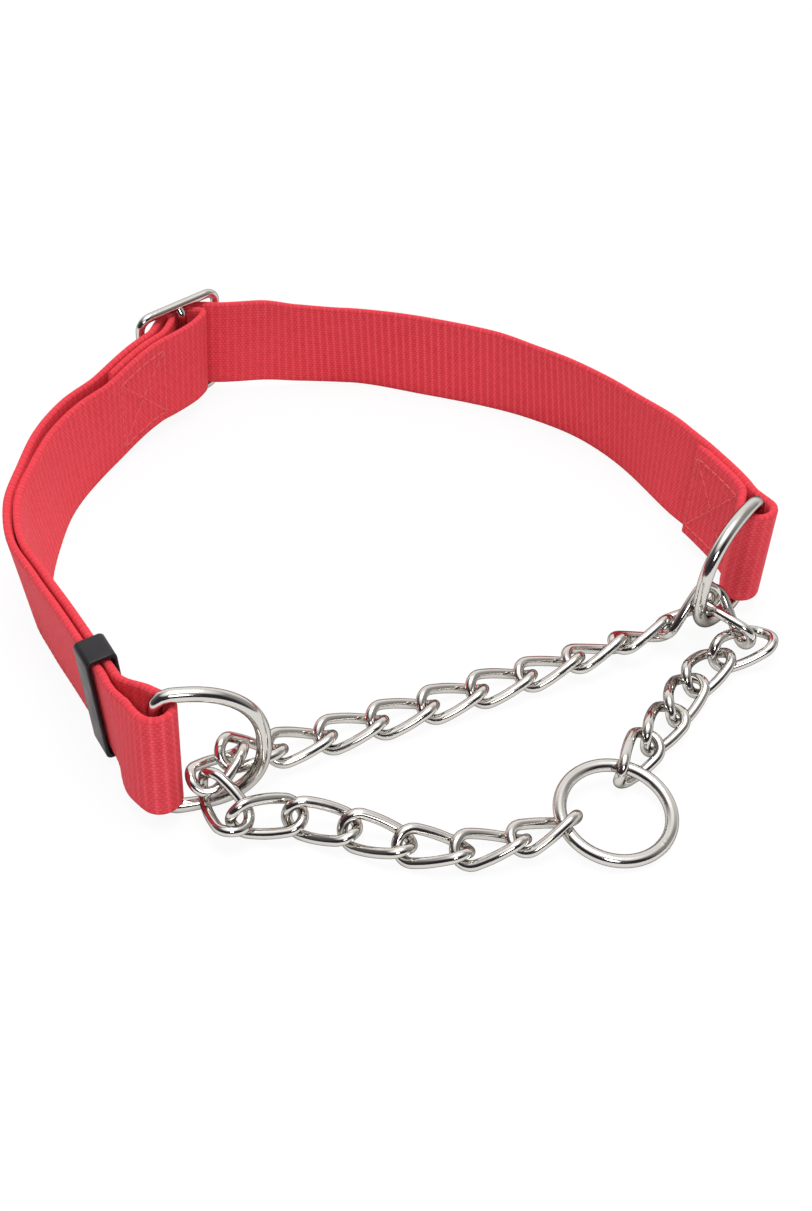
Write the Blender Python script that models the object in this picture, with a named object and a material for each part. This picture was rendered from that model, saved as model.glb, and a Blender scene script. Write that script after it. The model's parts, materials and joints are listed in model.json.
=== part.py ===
"""Martingale collar: a webbing strap with a slide and a keeper, two dees and a loop of curb chain.

Units are metres, +Z is up and the collar stands on a table at z = 0. Plan points are (x, y) as
seen from above, with +X to the right and +Y to the back of the neck.
"""

import math

import bmesh
import bpy
from mathutils import Matrix, Vector

# Webbing
WEBBING_WIDTH = 0.0250
WEBBING_THICKNESS = 0.0018
LAYER_GAP = 0.0004
FIT_GAP = 0.0004
FOLD_TUCK = 0.0006
FOLD_SLACK = 0.0011
FOLD_OPENS = 0.0150
SEWN_FOLD_OPENS = 0.0068
STATION_STEP = 0.0030

# Dees
DEE_WIRE = 0.0030
DEE_DEPTH = 0.0220
DEE_CORNER = 0.0030
DEE_SQUARENESS = 2.4
LEFT_BAR = (-0.0480, -0.0613)
LEFT_BOW = (0.98, 0.19)
RIGHT_BAR = (0.0740, 0.0015)
RIGHT_BOW = (-0.60, -0.80)

# Curb chain
CHAIN_WIRE = 0.0022
CHAIN_PLAY = 0.0007
LINK_INNER_WIDTH = 0.0046
LINK_TWIST = math.radians(-90.0)

# Leash ring
RING_OUTER = 0.0250
RING_WIRE = 0.0027
RING_CENTRE = (0.0410, -0.0640)
RING_TILT = math.radians(10.0)
RING_HIGH_SIDE = math.radians(130.0)

# Slide
SLIDE_LENGTH = 0.0245
SLIDE_WIRE = 0.0022
SLIDE_CORNER = 0.0030
SLIDE_BAR_SET = 0.0018
SLIDE_GAP = 0.0006
SLIDE_CENTRE = (-0.05775, 0.07895)
SLIDE_ALONG = (-0.760, -0.650)
SLIDE_DROP = 0.0008

# Keeper
KEEPER_BAND = 0.0070
KEEPER_WALL = 0.0008
KEEPER_CORNER = 0.0013
KEEPER_FROM_FOLD = 0.0215
KEEPER_GAP = 0.0005

# Sewn tabs and their box stitches
TAB_LENGTH = 0.0260
LOOP_TAB_LENGTH = 0.0185
TAB_OPENS = 0.0450
STITCH_LENGTH = 0.0160
STITCH_HEIGHT = 0.0190
STITCH_WIDTH = 0.0008
STITCH_RAISE = 0.0004
STITCH_GAP = 0.00015
STITCH_INSET = 0.0030

# Facets round a wire and along each closed wire
WIRE_BEVEL_RESOLUTION = 2
BOW_POINTS = 8
SIDE_POINTS = 3
DEE_POINTS = 40
RING_POINTS = 48

# The strap's route in plan, from the right dee round the back of the neck to the left dee
BACK_ROUTE = [
    (0.0718, 0.0100), (0.0668, 0.0211), (0.0615, 0.0311), (0.0529, 0.0492), (0.0430, 0.0616),
    (0.0323, 0.0694), (0.0224, 0.0744), (0.0043, 0.0807), (-0.0148, 0.0861), (-0.0270, 0.0847),
    (-0.0380, 0.0829),
]
SIDE_ROUTE = [
    (-0.0717, 0.0548), (-0.0773, 0.0447), (-0.0810, 0.0326), (-0.0820, 0.0197), (-0.0818, 0.0068),
    (-0.0800, -0.0053), (-0.0744, -0.0167), (-0.0682, -0.0279), (-0.0566, -0.0485),
    (-0.0526, -0.0567),
]

# Where the strap's upper edge stands from its lower edge, and how far the lower edge is off the
# table, by the direction in degrees in which a place lies from the middle of the neck
NECK_MIDDLE = (0.0, 0.0100)
STANCE = [
    (-10.0, (0.0015, 0.0005), 0.00285),
    (10.0, (0.0011, 0.0005), 0.0022),
    (19.0, (0.0013, 0.0008), 0.0012),
    (36.5, (-0.0017, -0.0013), 0.0),
    (50.0, (-0.0026, -0.0027), 0.0),
    (61.0, (-0.0019, -0.0033), 0.0),
    (71.0, (-0.0011, -0.0026), 0.0),
    (86.0, (-0.0007, -0.0024), 0.0),
    (101.0, (-0.0006, -0.0037), 0.0),
    (110.0, (0.0004, -0.0031), 0.0015),
    (118.0, (0.00164, -0.00192), 0.0030),
    (139.0, (0.00164, -0.00192), 0.0030),
    (150.0, (0.0018, -0.0012), 0.0008),
    (157.0, (0.0, 0.0), 0.0),
    (173.0, (-0.0027, 0.0), 0.0),
    (182.0, (-0.0040, 0.0), 0.0),
    (190.0, (-0.0029, -0.0008), 0.0003),
    (200.0, (-0.0018, -0.0009), 0.0009),
    (213.0, (-0.0013, -0.0010), 0.0024),
    (227.0, (-0.0008, -0.0006), 0.0025),
    (232.0, (0.0012, 0.0016), 0.0029),
    (237.0, (0.0005, 0.0030), 0.0031),
]

# The chain's runs: where each starts and ends from the left dee's bar or the end of the right dee's
# bow, the points that it passes between, and each link's roll in degrees from lying flat
BACK_START = (0.0124, 0.0081, 0.0087)
BACK_RUN = [
    (-0.0285, -0.0494, 0.0051), (-0.0216, -0.0453, 0.0031), (-0.0019, -0.0374, 0.0029),
    (0.0156, -0.0297, 0.0029), (0.0255, -0.0255, 0.0029), (0.0361, -0.0211, 0.0035),
    (0.0462, -0.0165, 0.0040),
]
BACK_END = (-0.0043, 0.0041, 0.0044)
BACK_ROLLS = [0, 0, 0, 0, 0, -1, -15, -31, -46]
FRONT_START = (0.0262, -0.0044, 0.0041)
FRONT_RUN = [
    (-0.0109, -0.0683, 0.0035), (-0.0004, -0.0720, 0.0030), (0.0107, -0.0734, 0.0028),
    (0.0216, -0.0712, 0.0032),
]
FRONT_ROLLS = [33, 17, 4, -9, -23]
FRONT_CONTACT = 195.0
RIGHT_START = (-0.0006, -0.0118, 0.0034)
RIGHT_RUN = [(0.0553, -0.0373, 0.0038), (0.0493, -0.0459, 0.0046)]
RIGHT_ROLLS = [-26, -40, -55]
RIGHT_CONTACT = 77.5

# Links that turn the chain's corners: start and end from the same two places, and roll
LEFT_TURNS = {
    "front_link_01": ((0.0144, 0.0094, 0.0075), (0.0078, 0.0013, 0.0076), 13),
    "front_link_02": ((0.0091, 0.0016, 0.0073), (0.0154, -0.0074, 0.0051), 36),
    "front_link_03": ((0.0156, -0.0063, 0.0056), (0.0266, -0.0041, 0.0043), 48),
}
RIGHT_TURNS = {
    "back_link_10": ((-0.0046, 0.0038, 0.0046), (0.0046, 0.0075, 0.0113), -57),
    "back_link_11": ((0.0052, 0.0089, 0.0096), (0.0123, 0.0007, 0.0045), -43),
    "right_link_01": ((0.0165, 0.0004, 0.0046), (0.0060, -0.0041, 0.0038), -28),
    "right_link_02": ((0.0064, -0.0039, 0.0034), (-0.0006, -0.0120, 0.0034), -16),
}


def smoothstep(share):
    share = min(max(share, 0.0), 1.0)
    return share * share * (3.0 - 2.0 * share)


def on_span(before, start, end, after, share):
    """Point on the centripetal spline span that runs from start to end."""
    t1 = math.sqrt((start - before).length)
    t2 = t1 + math.sqrt((end - start).length)
    t3 = t2 + math.sqrt((after - end).length)
    t = t1 + (t2 - t1) * share
    a1 = before.lerp(start, t / t1)
    a2 = start.lerp(end, (t - t1) / (t2 - t1))
    a3 = end.lerp(after, (t - t2) / (t3 - t2))
    b1 = a1.lerp(a2, t / t2)
    b2 = a2.lerp(a3, (t - t1) / (t3 - t1))
    return b1.lerp(b2, (t - t1) / (t2 - t1))


def smooth_route(points, step):
    """Points about a step apart along a smooth curve through the given points."""
    ends = [2 * points[0] - points[1], *points, 2 * points[-1] - points[-2]]
    route = []
    for before, start, end, after in zip(ends, ends[1:], ends[2:], ends[3:]):
        count = max(1, round((end - start).length / step))
        route += [on_span(before, start, end, after, i / count) for i in range(count)]
    return [*route, points[-1]]


def lengths_along(route):
    """Distance of each point of a route from the route's start."""
    lengths = [0.0]
    for start, end in zip(route, route[1:]):
        lengths.append(lengths[-1] + (end - start).length)
    return lengths


def point_at(route, distance):
    """Point and direction at a distance along a route."""
    lengths = lengths_along(route)
    for i, length in enumerate(lengths[1:]):
        if distance <= length or i == len(route) - 2:
            share = (distance - lengths[i]) / (length - lengths[i])
            return route[i].lerp(route[i + 1], share), (route[i + 1] - route[i]).normalized()


def outward(direction):
    """Plan normal that points away from the neck, for a route that runs right to left."""
    return Vector((direction.y, -direction.x))


def slope_at(before, here, after):
    """Slope at the middle of three (place, value) points: level at a peak, a dip or a flat."""
    first = (here[1] - before[1]) / (here[0] - before[0])
    second = (after[1] - here[1]) / (after[0] - here[0])
    return 2.0 * first * second / (first + second) if first * second > 0.0 else 0.0


def eased(points, place):
    """Value at a place on the smooth curve through (place, value) points, level at both ends."""
    ends = [(points[0][0] - 1.0, points[0][1]), *points, (points[-1][0] + 1.0, points[-1][1])]
    for before, start, end, after in zip(ends, ends[1:], ends[2:], ends[3:]):
        if place <= end[0]:
            span = end[0] - start[0]
            share = (place - start[0]) / span
            curve = start[1] + (end[1] - start[1]) * smoothstep(share)
            leave = slope_at(before, start, end) * share * (1.0 - share) ** 2
            arrive = slope_at(start, end, after) * share ** 2 * (1.0 - share)
            return curve + span * (leave - arrive)


def stance(plan):
    """Offset of the strap's upper edge in plan, and lift of its lower edge, at a plan point."""
    angle = math.degrees(math.atan2(plan.y - NECK_MIDDLE[1], plan.x - NECK_MIDDLE[0]))
    if angle < STANCE[0][0] - 60.0:
        angle += 360.0
    angle = min(max(angle, STANCE[0][0]), STANCE[-1][0])
    lean = Vector([eased([(row[0], row[1][k]) for row in STANCE], angle) for k in range(2)])
    return lean, eased([(row[0], row[2]) for row in STANCE], angle)


def strap_point(plan, share):
    """Point over a plan point, from the strap's lower edge (0) to its upper edge (1)."""
    lean, lift = stance(plan)
    rise = math.sqrt(WEBBING_WIDTH ** 2 - lean.length_squared)
    return Vector((plan.x + lean.x * share, plan.y + lean.y * share, lift + rise * share))


def strap_frame(plan, direction, share):
    """Matrix with X along the strap's route, Y towards the neck and Z up the strap's width."""
    up = (strap_point(plan, 1.0) - strap_point(plan, 0.0)).normalized()
    along = Vector((direction.x, direction.y, 0.0))
    along = (along - up * along.dot(up)).normalized()
    axes = Matrix((along, up.cross(along), up)).transposed()
    return Matrix.Translation(strap_point(plan, share)) @ axes.to_4x4()


def finish(name, colour, roughness, metallic):
    """One plain material."""
    material = bpy.data.materials.new(name)
    material.use_nodes = True
    shader = material.node_tree.nodes["Principled BSDF"]
    shader.inputs["Base Color"].default_value = (*colour, 1.0)
    shader.inputs["Roughness"].default_value = roughness
    shader.inputs["Metallic"].default_value = metallic
    return material


def add_object(name, data, material, origin):
    piece = bpy.data.objects.new(name, data)
    bpy.context.scene.collection.objects.link(piece)
    data.materials.append(material)
    piece.parent = origin
    return piece


def add_mesh(name, vertices, faces, material, origin):
    mesh = bpy.data.meshes.new(name)
    mesh.from_pydata([tuple(v) for v in vertices], [], faces)
    builder = bmesh.new()
    builder.from_mesh(mesh)
    bmesh.ops.recalc_face_normals(builder, faces=builder.faces)
    builder.to_mesh(mesh)
    builder.free()
    return add_object(name, mesh, material, origin)


def add_wire(name, points, wire, material, origin):
    """Closed loop of round wire through the given points."""
    curve = bpy.data.curves.new(name, "CURVE")
    curve.dimensions = "3D"
    curve.bevel_depth = wire / 2
    curve.bevel_resolution = WIRE_BEVEL_RESOLUTION
    spline = curve.splines.new("POLY")
    spline.points.add(len(points) - 1)
    for target, point in zip(spline.points, points):
        target.co = (*point, 1.0)
    spline.use_cyclic_u = True
    return add_object(name, curve, material, origin)


FOLD_RADIUS = DEE_WIRE / 2 + FOLD_SLACK + WEBBING_THICKNESS / 2
LAYER_PITCH = WEBBING_THICKNESS + LAYER_GAP
RAIL_CLEAR = SLIDE_WIRE / 2 + FIT_GAP + WEBBING_THICKNESS / 2
RAIL_PLACE = (SLIDE_LENGTH - SLIDE_WIRE) / 2


def fold_offset(distance, opens):
    """Offset of either layer from the middle of a fold, at a distance from the dee's bar."""
    return FOLD_RADIUS + (LAYER_PITCH / 2 - FOLD_RADIUS) * smoothstep(distance / opens)


def back_offset(distance):
    """Offset of either layer from the back's middle route, where the fold is sewn close to its dee."""
    return fold_offset(distance, SEWN_FOLD_OPENS)


def tab_offset(distance):
    """Extra offset of the outer and inner layers where the slide's sewn tab lies between them."""
    return LAYER_PITCH / 2 * smoothstep(distance / TAB_OPENS + 1.0)


def slide_point(along, out):
    """Plan point in the slide's own directions: along the strap's route and away from the neck."""
    axis = Vector(SLIDE_ALONG).normalized()
    return Vector(SLIDE_CENTRE) + axis * along + outward(axis) * out


def back_middle():
    """Route midway between the layers of the right dee's fold, and on round the back."""
    return smooth_route([Vector(p) for p in (RIGHT_BAR, *BACK_ROUTE)], STATION_STEP)


def side_middle():
    """Route midway between the strap's layers, from the left dee's bar up to the slide."""
    top = slide_point(RAIL_PLACE, -RAIL_CLEAR - LAYER_PITCH - SLIDE_DROP)
    points = [Vector(LEFT_BAR), *(Vector(p) for p in reversed(SIDE_ROUTE)), top]
    return smooth_route(points, STATION_STEP)


def layer(middle, offsets, start, end):
    """A middle route's points from start to end, each moved sideways by its own offset."""
    points = []
    for i, length in enumerate(lengths_along(middle)):
        if start < length < end:
            ahead = (middle[min(i + 1, len(middle) - 1)] - middle[i - 1]).normalized()
            points.append(middle[i] + outward(ahead) * offsets(length))
    return points


def half_turn(bar, away, side):
    """Half turn of webbing round a dee's bar, from one side of its fold to the other."""
    across = outward(away) * side
    turns = [math.pi * k / 8 for k in range(9)]
    return [bar + FOLD_RADIUS * (across * math.cos(t) + away * math.sin(t)) for t in turns]


def weave_through_slide():
    """Strap's route in at one rail of the slide, over its centre bar and out at the other rail."""
    over = RAIL_CLEAR + LAYER_PITCH - SLIDE_BAR_SET
    under = -RAIL_CLEAR - 0.0002
    places = [
        (-RAIL_PLACE + 0.0010, under - 0.0008), (-0.0066, under + 0.0026), (-0.0040, over - 0.0010),
        (-0.0014, over), (0.0014, over), (0.0040, over - 0.0014), (RAIL_PLACE - 0.0015, under),
    ]
    return [slide_point(*place) for place in places]


def loop_round_bar():
    """Sewn loop's route up one side of the slide's centre bar, round it and down the other."""
    deep = -RAIL_CLEAR - 2 * LAYER_PITCH
    near = -RAIL_CLEAR - LAYER_PITCH
    over = RAIL_CLEAR - SLIDE_BAR_SET
    places = [
        (RAIL_PLACE - 0.0035, deep - 0.0005), (0.0030, deep + 0.0001), (-0.0006, deep + 0.0009),
        (-0.0036, deep + 0.0022), (-0.0050, deep + 0.0032), (-0.0054, deep + 0.0043),
        (-0.0047, deep + 0.0053), (-0.0026, over - 0.0006), (-0.0003, over + 0.0002),
        (0.0016, over - 0.0004), (0.0030, over - 0.0020), (RAIL_PLACE - 0.0035, near),
    ]
    return [slide_point(*place) for place in places]


def side_offset(side, distance):
    """Offset of the outer and inner layers from the left side's middle route."""
    tab_end = lengths_along(side)[-1] - LOOP_TAB_LENGTH
    return fold_offset(distance, FOLD_OPENS) + tab_offset(distance - tab_end)


def strap_route(back, side):
    """Plan route of the whole strap: right tab, back, slide, left fold, inner layer, left tab."""
    right_away = (back[0] - back[1]).normalized()
    left_away = (side[0] - side[1]).normalized()
    tab_end = lengths_along(side)[-1] - LOOP_TAB_LENGTH
    route = layer(back, lambda d: -back_offset(d), 0.0, TAB_LENGTH)[::-1]
    route += half_turn(back[0], right_away, 1)
    route += layer(back, back_offset, 0.0, math.inf)
    route += weave_through_slide()
    route += layer(side, lambda d: -side_offset(side, d), 0.0, math.inf)[::-1]
    route += half_turn(side[0], left_away, 1)
    route += layer(side, lambda d: side_offset(side, d), 0.0, math.inf)
    route += loop_round_bar()
    route += layer(side, lambda d: 0.0, tab_end, math.inf)[::-1]
    return smooth_route(route, STATION_STEP)


def fold_tuck(plan):
    """How far the strap's edges are drawn in near a dee's bar."""
    nearest = min((plan - Vector(bar)).length for bar in (LEFT_BAR, RIGHT_BAR))
    return FOLD_TUCK * (1.0 - smoothstep((nearest - FOLD_RADIUS) / FOLD_RADIUS))


def build_webbing(route, origin, material):
    """One continuous band of webbing along the strap's route."""
    vertices = []
    for i, plan in enumerate(route):
        before = (plan - route[i - 1]).normalized() if i else None
        after = (route[i + 1] - plan).normalized() if i + 1 < len(route) else None
        ahead = ((before or after) + (after or before)).normalized()
        half = outward(ahead) * WEBBING_THICKNESS / 2 / ahead.dot(after or before)
        tuck = fold_tuck(plan) / WEBBING_WIDTH
        for share in (tuck, 1.0 - tuck):
            middle = strap_point(plan, share)
            vertices += [middle - half.to_3d(), middle + half.to_3d()]
    ring = (0, 1, 3, 2)
    faces = [ring, tuple(4 * (len(route) - 1) + k for k in ring)]
    for i in range(0, 4 * (len(route) - 1), 4):
        for a, b in zip(ring, (*ring[1:], ring[0])):
            faces.append((i + a, i + b, i + 4 + b, i + 4 + a))
    return add_mesh("webbing", vertices, faces, material, origin)


def build_stitch(name, middle, start, offsets, origin, material):
    """Box of stitching crossed from corner to corner, standing just off the strap's inner face.

    It begins at a distance from the start of the middle route that its layer is laid about.
    """
    half_width = STITCH_WIDTH / 2
    slope = STITCH_HEIGHT / STITCH_LENGTH
    along_arm = half_width * math.hypot(1.0, slope) / slope
    up_arm = along_arm * slope
    left, right = half_width, STITCH_LENGTH - half_width
    low, high = half_width, STITCH_HEIGHT - half_width
    centre = (STITCH_LENGTH / 2, STITCH_HEIGHT / 2)
    outer = [(0.0, 0.0), (STITCH_LENGTH, 0.0), (STITCH_LENGTH, STITCH_HEIGHT), (0.0, STITCH_HEIGHT)]
    near = [  # each side's inner corners, then the tip of the hole that it faces
        [(left + along_arm, low), (right - along_arm, low), (centre[0], centre[1] - up_arm)],
        [(right, low + up_arm), (right, high - up_arm), (centre[0] + along_arm, centre[1])],
        [(right - along_arm, high), (left + along_arm, high), (centre[0], centre[1] + up_arm)],
        [(left, high - up_arm), (left, low + up_arm), (centre[0] - along_arm, centre[1])],
    ]
    flat = [*outer, *(place for side in near for place in side)]
    pieces = [(6, 9, 12, 15)]
    for i in range(4):
        j = (i + 1) % 4
        first, second, tip = 4 + 3 * i, 5 + 3 * i, 6 + 3 * i
        pieces += [(i, j, second, first), (second, j, 4 + 3 * j), (second, 4 + 3 * j, 6 + 3 * j, tip)]

    builder = bmesh.new()
    points = [builder.verts.new((x, y, 0.0)) for x, y in flat]
    for piece in pieces:
        builder.faces.new([points[k] for k in piece])
    bmesh.ops.subdivide_edges(builder, edges=builder.edges, cuts=2, use_grid_fill=True)
    base = (WEBBING_WIDTH - STITCH_HEIGHT) / 2
    raised = bmesh.ops.extrude_face_region(builder, geom=list(builder.faces))
    top = {v for v in raised["geom"] if isinstance(v, bmesh.types.BMVert)}
    for v in builder.verts:
        distance = start + v.co.x
        plan, direction = point_at(middle, distance)
        above = WEBBING_THICKNESS / 2 + STITCH_GAP + (STITCH_RAISE if v in top else 0.0)
        offset = offsets(distance)
        plan = plan + outward(direction) * (offset + math.copysign(above, offset))
        v.co = strap_point(plan, (base + v.co.y) / WEBBING_WIDTH)
    bmesh.ops.recalc_face_normals(builder, faces=builder.faces)
    if builder.calc_volume(signed=True) < 0.0:
        bmesh.ops.reverse_faces(builder, faces=builder.faces)
    mesh = bpy.data.meshes.new(name)
    builder.to_mesh(mesh)
    builder.free()
    return add_object(name, mesh, material, origin)


def dee_outline():
    """Centreline of a dee in its own plane: the bar on Z, the bow towards +X."""
    half = WEBBING_WIDTH / 2 - FOLD_TUCK + FIT_GAP + DEE_WIRE / 2
    reach = DEE_DEPTH - DEE_WIRE / 2 - DEE_CORNER
    power = 2.0 / DEE_SQUARENESS
    points = []
    for k in range(DEE_POINTS + 1):
        t = math.pi * (k / DEE_POINTS - 0.5)
        across = reach * max(math.cos(t), 0.0) ** power
        up = half * math.copysign(abs(math.sin(t)) ** power, t)
        points.append(Vector((DEE_CORNER + across, 0.0, up)))
    for side in (1, -1):
        for k in range(1, 4):
            t = math.pi / 2 * (k / 3 if side > 0 else 1.0 - (k - 1) / 3)
            x = DEE_CORNER * (1.0 - math.sin(t))
            z = half - DEE_CORNER * (1.0 - math.cos(t))
            points.append(Vector((x, 0.0, side * z)))
    return points


def build_dee(name, bar, bow, origin, material):
    """Wire dee whose straight bar lies in the strap's fold."""
    dee = add_wire(name, dee_outline(), DEE_WIRE, material, origin)
    dee.matrix_local = strap_frame(Vector(bar), Vector(bow), 0.5)
    return dee


def build_slide(origin, material):
    """Slide: a rounded frame of wire, and across it a centre bar on which it tilts."""
    axis = Vector(SLIDE_ALONG).normalized()
    middle = strap_frame(Vector(SLIDE_CENTRE), axis, 0.5)
    place = middle @ Matrix.Translation((0.0, SLIDE_BAR_SET, 0.0))
    high = WEBBING_WIDTH / 2 + SLIDE_GAP + SLIDE_WIRE / 2
    points = []
    for turn, (x, z) in enumerate(((1, 1), (-1, 1), (-1, -1), (1, -1))):
        for k in range(6):
            t = math.pi / 2 * (turn + k / 5)
            points.append(Vector((
                x * (RAIL_PLACE - SLIDE_CORNER) + SLIDE_CORNER * math.cos(t), -SLIDE_BAR_SET,
                z * (high - SLIDE_CORNER) + SLIDE_CORNER * math.sin(t))))
    wire = add_wire("slide_wire", points, SLIDE_WIRE, material, origin)
    mesh = bpy.data.meshes.new_from_object(wire)
    bpy.data.objects.remove(wire)
    frame = add_object("slide", mesh, material, origin)
    frame.matrix_local = place

    bar_mesh = bpy.data.meshes.new("slide_bar")
    builder = bmesh.new()
    bmesh.ops.create_cone(builder, cap_ends=True, segments=8, radius1=SLIDE_WIRE / 2,
                          radius2=SLIDE_WIRE / 2, depth=2 * high)
    builder.to_mesh(bar_mesh)
    builder.free()
    bar = add_object("slide_bar", bar_mesh, material, origin)
    bar.matrix_local = place
    bar.hide_render = True
    bar.display_type = "WIRE"
    weld = frame.modifiers.new("weld", "BOOLEAN")
    weld.operation = "UNION"
    weld.solver = "EXACT"
    weld.object = bar
    return frame


def build_keeper(side, origin, material):
    """Moulded keeper: a flat rounded loop round both layers of the strap."""
    plan, direction = point_at(side, KEEPER_FROM_FOLD)
    hole_deep = WEBBING_THICKNESS + LAYER_PITCH + 2 * KEEPER_GAP
    hole_high = WEBBING_WIDTH + 2 * KEEPER_GAP
    vertices = []
    faces = []
    rings = 0
    for along in (-KEEPER_BAND / 2, KEEPER_BAND / 2):
        for wall in (0.0, KEEPER_WALL):
            corner = KEEPER_CORNER if wall else KEEPER_CORNER - KEEPER_WALL + 0.0004
            deep = hole_deep / 2 + wall - corner
            high = hole_high / 2 + wall - corner
            for turn, (y, z) in enumerate(((1, 1), (-1, 1), (-1, -1), (1, -1))):
                for k in range(4):
                    t = math.pi / 2 * (turn + k / 3)
                    vertices.append(Vector((along, y * deep + corner * math.cos(t),
                                            z * high + corner * math.sin(t))))
            rings += 1
    count = len(vertices) // rings
    for a, b in ((0, 1), (1, 3), (3, 2), (2, 0)):
        for i in range(count):
            j = (i + 1) % count
            faces.append((a * count + i, a * count + j, b * count + j, b * count + i))
    keeper = add_mesh("keeper", vertices, faces, material, origin)
    keeper.matrix_local = strap_frame(plan, -direction, 0.5)
    return keeper


def link_outline(pitch):
    """Centreline of one curb link from its start at x = 0: a long loop twisted end to end."""
    length = pitch + CHAIN_WIRE + CHAIN_PLAY
    bow = (LINK_INNER_WIDTH + CHAIN_WIRE) / 2
    straight = length - 2 * bow
    flat = []
    for end in (1, -1):
        for k in range(BOW_POINTS):
            t = math.pi * (k / (BOW_POINTS - 1) - 0.5)
            flat.append((end * (straight / 2 + bow * math.cos(t)), end * bow * math.sin(t)))
        for k in range(1, SIDE_POINTS + 1):
            flat.append((end * straight * (0.5 - k / (SIDE_POINTS + 1)), end * bow))
    points = []
    for x, across in flat:
        turn = LINK_TWIST * x / length
        points.append(Vector((x + pitch / 2, across * math.cos(turn), across * math.sin(turn))))
    return points


def build_link(name, start, end, roll, origin, material):
    """One curb link from its start point towards its end point, rolled about its own length."""
    link = add_wire(name, link_outline((end - start).length), CHAIN_WIRE, material, origin)
    along = (end - start).normalized()
    across = Vector((0.0, 0.0, 1.0)).cross(along).normalized()
    axes = Matrix((along, across, along.cross(across))).transposed().to_4x4()
    turn = Matrix.Rotation(math.radians(roll), 4, "X")
    link.matrix_local = Matrix.Translation(start) @ axes @ turn
    return link


def even_places(points, count):
    """Start and end points of evenly spaced links along the smooth curve through some points."""
    route = smooth_route([Vector(p) for p in points], STATION_STEP / 6)
    whole = lengths_along(route)[-1]
    return [point_at(route, whole * k / count)[0] for k in range(count + 1)]


def ring_frame():
    """Matrix of the leash ring, which lies on the table with one side raised on the chain."""
    reach = (RING_OUTER - RING_WIRE) / 2
    height = RING_WIRE / 2 + reach * math.sin(RING_TILT)
    lean = Matrix.Rotation(RING_HIGH_SIDE, 4, "Z") @ Matrix.Rotation(-RING_TILT, 4, "Y")
    return Matrix.Translation((*RING_CENTRE, height)) @ lean


def ring_contact(degrees):
    """Point where a link that comes in from a direction is threaded by the leash ring."""
    reach = (RING_OUTER - RING_WIRE) / 2 - RING_WIRE / 2 - CHAIN_PLAY / 2
    turn = math.radians(degrees) - RING_HIGH_SIDE
    return ring_frame() @ Vector((reach * math.cos(turn), reach * math.sin(turn), 0.0))


def build_ring(origin, material):
    reach = (RING_OUTER - RING_WIRE) / 2
    turns = [2 * math.pi * k / RING_POINTS for k in range(RING_POINTS)]
    points = [Vector((reach * math.cos(t), reach * math.sin(t), 0.0)) for t in turns]
    ring = add_wire("leash_ring", points, RING_WIRE, material, origin)
    ring.matrix_local = ring_frame()
    return ring


def chain_links():
    """Every link's name, start, end and roll, in order round the chain."""
    left = Vector(LEFT_BAR).to_3d()
    right = (Vector(RIGHT_BAR) + Vector(RIGHT_BOW).normalized() * DEE_DEPTH).to_3d()
    links = []
    for corner, turns in ((left, LEFT_TURNS), (right, RIGHT_TURNS)):
        for name, (start, end, roll) in turns.items():
            links.append((name, corner + Vector(start), corner + Vector(end), roll))
    back_run = [left + Vector(BACK_START), *BACK_RUN, right + Vector(BACK_END)]
    front_run = [left + Vector(FRONT_START), *FRONT_RUN, ring_contact(FRONT_CONTACT)]
    right_run = [right + Vector(RIGHT_START), *RIGHT_RUN, ring_contact(RIGHT_CONTACT)]
    runs = [
        ("back", 1, back_run, BACK_ROLLS),
        ("front", 4, front_run, FRONT_ROLLS),
        ("right", 3, right_run, RIGHT_ROLLS),
    ]
    for run, first, points, rolls in runs:
        stops = even_places(points, len(rolls))
        for i, roll in enumerate(rolls):
            links.append((f"{run}_link_{first + i:02d}", stops[i], stops[i + 1], roll))
    return sorted(links, key=lambda link: link[0])


def stand_at_middle(origin):
    """Move the whole collar so that the middle of its footprint is at the world's origin."""
    bpy.context.view_layer.update()
    depsgraph = bpy.context.evaluated_depsgraph_get()
    points = []
    for piece in origin.children:
        if not piece.hide_render:
            shape = piece.evaluated_get(depsgraph)
            points += [piece.matrix_world @ v.co for v in shape.to_mesh().vertices]
            shape.to_mesh_clear()
    low = [min(point[k] for point in points) for k in range(3)]
    high = [max(point[k] for point in points) for k in range(3)]
    origin.location = (-(low[0] + high[0]) / 2, -(low[1] + high[1]) / 2, -low[2])


def build_collar():
    for leftover in list(bpy.data.objects):
        bpy.data.objects.remove(leftover)
    origin = bpy.data.objects.new("collar_origin", None)
    bpy.context.scene.collection.objects.link(origin)

    nylon = finish("red_nylon", (0.62, 0.035, 0.05), 0.7, 0.0)
    nickel = finish("nickel_plate", (0.72, 0.70, 0.66), 0.18, 1.0)
    thread = finish("red_thread", (0.50, 0.02, 0.035), 0.6, 0.0)
    plastic = finish("black_acetal", (0.02, 0.02, 0.022), 0.35, 0.0)

    back = back_middle()
    side = side_middle()
    build_webbing(strap_route(back, side), origin, nylon)
    right_box = TAB_LENGTH - STITCH_INSET - STITCH_LENGTH
    left_box = lengths_along(side)[-1] - LOOP_TAB_LENGTH + STITCH_INSET
    build_stitch("right_stitch", back, right_box, lambda d: -back_offset(d), origin, thread)
    build_stitch("left_stitch", side, left_box, lambda d: side_offset(side, d), origin, thread)
    build_dee("left_dee", LEFT_BAR, LEFT_BOW, origin, nickel)
    build_dee("right_dee", RIGHT_BAR, RIGHT_BOW, origin, nickel)
    build_slide(origin, nickel)
    build_keeper(side, origin, plastic)
    build_ring(origin, nickel)
    for name, start, end, roll in chain_links():
        build_link(name, start, end, roll, origin, nickel)
    stand_at_middle(origin)


build_collar()
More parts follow.
